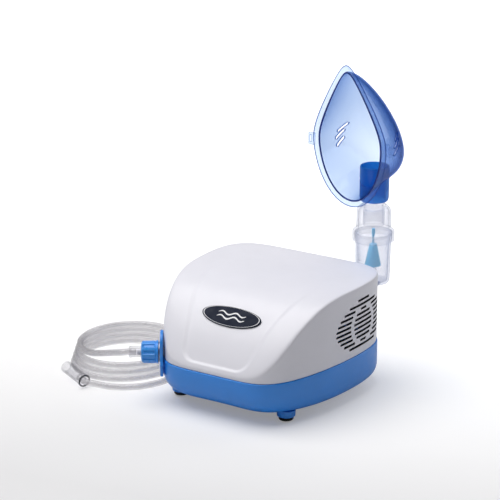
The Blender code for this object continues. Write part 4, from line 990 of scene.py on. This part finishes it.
def flange_row(inset, forward=0.0):
    row = []
    for angle in MASK_ANGLES:
        folded = angle if angle <= math.pi else math.tau - angle
        x = math.copysign((MASK_HALF_WIDTH - inset) * mask_half_width(folded), math.sin(angle))
        z = MASK_MID_Z - (MASK_HALF_HEIGHT - inset) * math.cos(angle)
        row.append(Vector((KIT_X + x, KIT_Y + mask_flange_y(z) - forward, z)))
    return row


def shell_row(share, shrink=0.0):
    top = MASK_POLE_Z + 101.0 * (1 - share ** 1.5) ** 0.8 - shrink
    dip = 27.0 - 14.0 * share * (1.6 - share)
    bottom = MASK_POLE_Z - dip * math.sqrt(1 - share ** 8) + shrink
    width = (MASK_HALF_WIDTH - 5.2) * (1 - share ** 2.2) ** 0.55 - shrink
    middle, half = (top + bottom) / 2, (top - bottom) / 2
    row = []
    for angle in MASK_ANGLES:
        c, s = math.cos(angle), math.sin(angle)
        folded = angle if angle <= math.pi else math.tau - angle
        pear = math.copysign(mask_half_width(folded), s)
        x = width * (pear + (s - pear) * share)
        z = middle - half * c
        y = mask_flange_y(z) * (1 - share) + (MASK_FLANGE_Y + MASK_DEPTH - shrink) * share
        row.append(Vector((KIT_X + x, KIT_Y + y, z)))
    return row


def pill_tool(bm, side, y, z, length, half, tilt):
    """A pill-shaped bar through one cheek."""
    ring = []
    for t in circle(24):
        a = half * math.cos(t) + math.copysign(length / 2 - half, math.cos(t))
        b = half * math.sin(t)
        ring.append((a * math.cos(tilt) - b * math.sin(tilt), a * math.sin(tilt) + b * math.cos(tilt)))
    rows = [[Vector((KIT_X + side * depth, KIT_Y + y + a, z + b)) for a, b in ring]
            for depth in (14.0, 54.0)]
    grid_mesh(bm, rows, True, True, True)


def rim_bead(name, ring, radius, outset, mat):
    """A round bead that follows a closed row of the mask."""
    centre = sum(ring, Vector()) / len(ring)
    rows = []
    for t in circle(12):
        rows.append([p + (p - centre).normalized() * (radius * math.cos(t) + outset)
                     + Vector((0, radius * math.sin(t) - 0.2, 0)) for p in ring])
    bm = bmesh.new()
    grid_mesh(bm, [*rows, rows[0]])
    take_part(finish_mesh(name, bm, mat), "mask")


def make_mask():
    shares = [0.0, 0.015, 0.04, 0.08, 0.12, 0.17, 0.22, 0.27, 0.33, 0.39, 0.45, 0.51, 0.57, 0.63, 0.69,
              0.75, 0.80, 0.85, 0.89, 0.925, 0.955, 0.98, 0.992]
    outer = [flange_row(0.0, 0.6), flange_row(1.6, 0.2), flange_row(3.0)]
    outer += [shell_row(share) for share in shares]
    bm = bmesh.new()
    grid_mesh(bm, outer, cap_last=True)
    shell = finish_mesh("mask_bowl", bm, MASK_TINT)
    thicken(shell, MASK_WALL)
    cut(shell, drum("tool", 14.5, 60.0, upright(KIT_X, KIT_Y, 184.0), 96))
    bm = bmesh.new()
    for side in (-1, 1):
        for y, z in ((-12.3, 239.5), (-14.6, 233.0), (-13.7, 225.6)):
            pill_tool(bm, side, y, z, 14.5, 1.7, math.radians(30))
    cut(shell, finish_mesh("tool", bm, MASK_RIM))
    for side in (-1, 1):
        tab = (KIT_X + side * (MASK_HALF_WIDTH + 1.4), KIT_Y + mask_flange_y(TAB_Z), TAB_Z)
        cut(shell, block("tool", (7.0, 2.0, 12.0), tab, MASK_TINT, 0.7), "UNION")
        slit = (KIT_X + side * (MASK_HALF_WIDTH + 2.6), tab[1], TAB_Z)
        cut(shell, block("tool", (1.8, 10.0, 7.0), slit))
    sharpen(shell, 40)
    take_part(shell, "mask", "mask_shell")
    rim_bead("mask_bead", shell_row(0.0), 0.9, -0.9, MASK_RIM)
    rim_bead("mask_edge_bead", flange_row(0.0, 0.6), 0.45, -0.1, MASK_FOLD)


# ---- build

make_cover()
make_base()
make_feet()
make_badge()
make_outlet()
make_tube()
make_rear()
make_holder()
make_kit()
make_mask()


# ---- stage, light and camera

def make_stage():
    """Floor that rises to a wall a long way behind the object, seen from the camera."""
    sweep = [(-6.0, 0.0), (-1.0, 0.0), (1.2, 0.0), (1.9, 0.03), (2.5, 0.14), (2.9, 0.36), (3.1, 0.7),
             (3.2, 1.2), (3.2, 3.2)]
    turn = Matrix.Rotation(CAMERA_YAW, 3, "Z")
    below = Vector((0, 0, FLOOR_DROP))
    bm = bmesh.new()
    grid_mesh(bm, [[turn @ Vector((x, p.y, p.z)) - below for x in (-6.0, -2.0, 2.0, 6.0)]
                   for p in spline_through([(0, y, z) for y, z in sweep], 6)], wrap=False)
    mesh = mesh_from("floor_sweep", bm)
    mesh.materials.append(floor_paper())
    place_data("floor_sweep", mesh)


def floor_paper():
    """Pale paper whose camera-only painted glow lifts its shadows and runs it to white behind the object."""
    mat, tree = new_material("floor_paper")
    tone = remap(tree, noise(tree, 3.0, 2.0), 0.0, 1.0)
    paper = node(tree, "BsdfPrincipled", {
        "Base Color": mix_colour(tree, tone, (0.67, 0.67, 0.675), (0.685, 0.685, 0.69)), "Roughness": 0.6,
        "Specular IOR Level": 0.2})["BSDF"]
    spot = node(tree, "TexCoord")["Object"]
    turned_spot = node(tree, "VectorRotate", {"Vector": spot, "Angle": GLOW_TURN - CAMERA_YAW},
                       rotation_type="Z_AXIS")["Vector"]
    back = node(tree, "SeparateXYZ", {"Vector": turned_spot})["Y"]
    reach = node(tree, "VectorMath", {0: spot}, operation="LENGTH")["Value"]
    far = calculate(tree, "MAXIMUM", remap(tree, back, *FLOOR_GLOW, *GLOW_BACK),
                    remap(tree, reach, 0.0, 0.9, *GLOW_REACH))
    # Painted light: the glow shows only to the camera, weakest near the object.
    seen = calculate(tree, "MULTIPLY", far, node(tree, "LightPath")["Is Camera Ray"])
    glow = node(tree, "Emission", {"Strength": seen})["Emission"]
    both = node(tree, "AddShader", {0: paper, 1: glow})["Shader"]
    node(tree, "OutputMaterial", {"Surface": both})
    return mat


def area_light(name, place, target, size, power, colour):
    data = bpy.data.lights.new(name, "AREA")
    data.shape = "RECTANGLE"
    data.size, data.size_y = size
    data.energy = power
    data.color = colour
    lamp = place_data(name, data)
    lamp.location = place
    lamp.rotation_euler = (Vector(target) - Vector(place)).to_track_quat("-Z", "Y").to_euler()


def make_camera():
    data = bpy.data.cameras.new("camera")
    data.lens = 151.1
    data.sensor_width = 36.0
    data.shift_y = 0.12
    data.clip_start = 0.05
    data.clip_end = 50.0
    camera = place_data("camera", data)
    level = math.cos(CAMERA_RISE)
    way = Vector((math.sin(CAMERA_YAW) * level, -math.cos(CAMERA_YAW) * level, math.sin(CAMERA_RISE)))
    camera.location = CAMERA_TARGET * MM + way * CAMERA_DISTANCE
    camera.rotation_euler = (-way).to_track_quat("-Z", "Y").to_euler()
    bpy.context.scene.camera = camera


def make_light():
    world = bpy.data.worlds.new("studio")
    world.use_nodes = True
    tree = world.node_tree
    background = tree.nodes["Background"]
    background.inputs["Color"].default_value = (0.93, 0.93, 1.0, 1.0)
    seen = node(tree, "LightPath")["Is Camera Ray"]
    feed(tree, remap(tree, seen, 0.145, 1.1, 0.0, 1.0), background.inputs["Strength"])
    bpy.context.scene.world = world
    middle, cool = (0.03, 0.0, 0.08), (0.98, 0.98, 1.0)
    area_light("key", (-0.52, -0.32, 2.0), middle, (2.0, 2.0), 48.0, (1.0, 0.99, 0.98))
    area_light("front", (-0.4, -2.0, 0.9), middle, (1.0, 0.8), 0.5, cool)
    area_light("back", (0.3, 1.4, 1.2), middle, (1.4, 0.6), 5.0, cool)
    area_light("side", (0.55, 0.62, 0.35), (0.12, 0.04, 0.07), (0.4, 0.4), 0.9, cool)


make_stage()
make_light()
make_camera()
scene = bpy.context.scene
scene.view_settings.view_transform = "Standard"
scene.cycles.transparent_max_bounces = 40
scene.cycles.max_bounces = 12
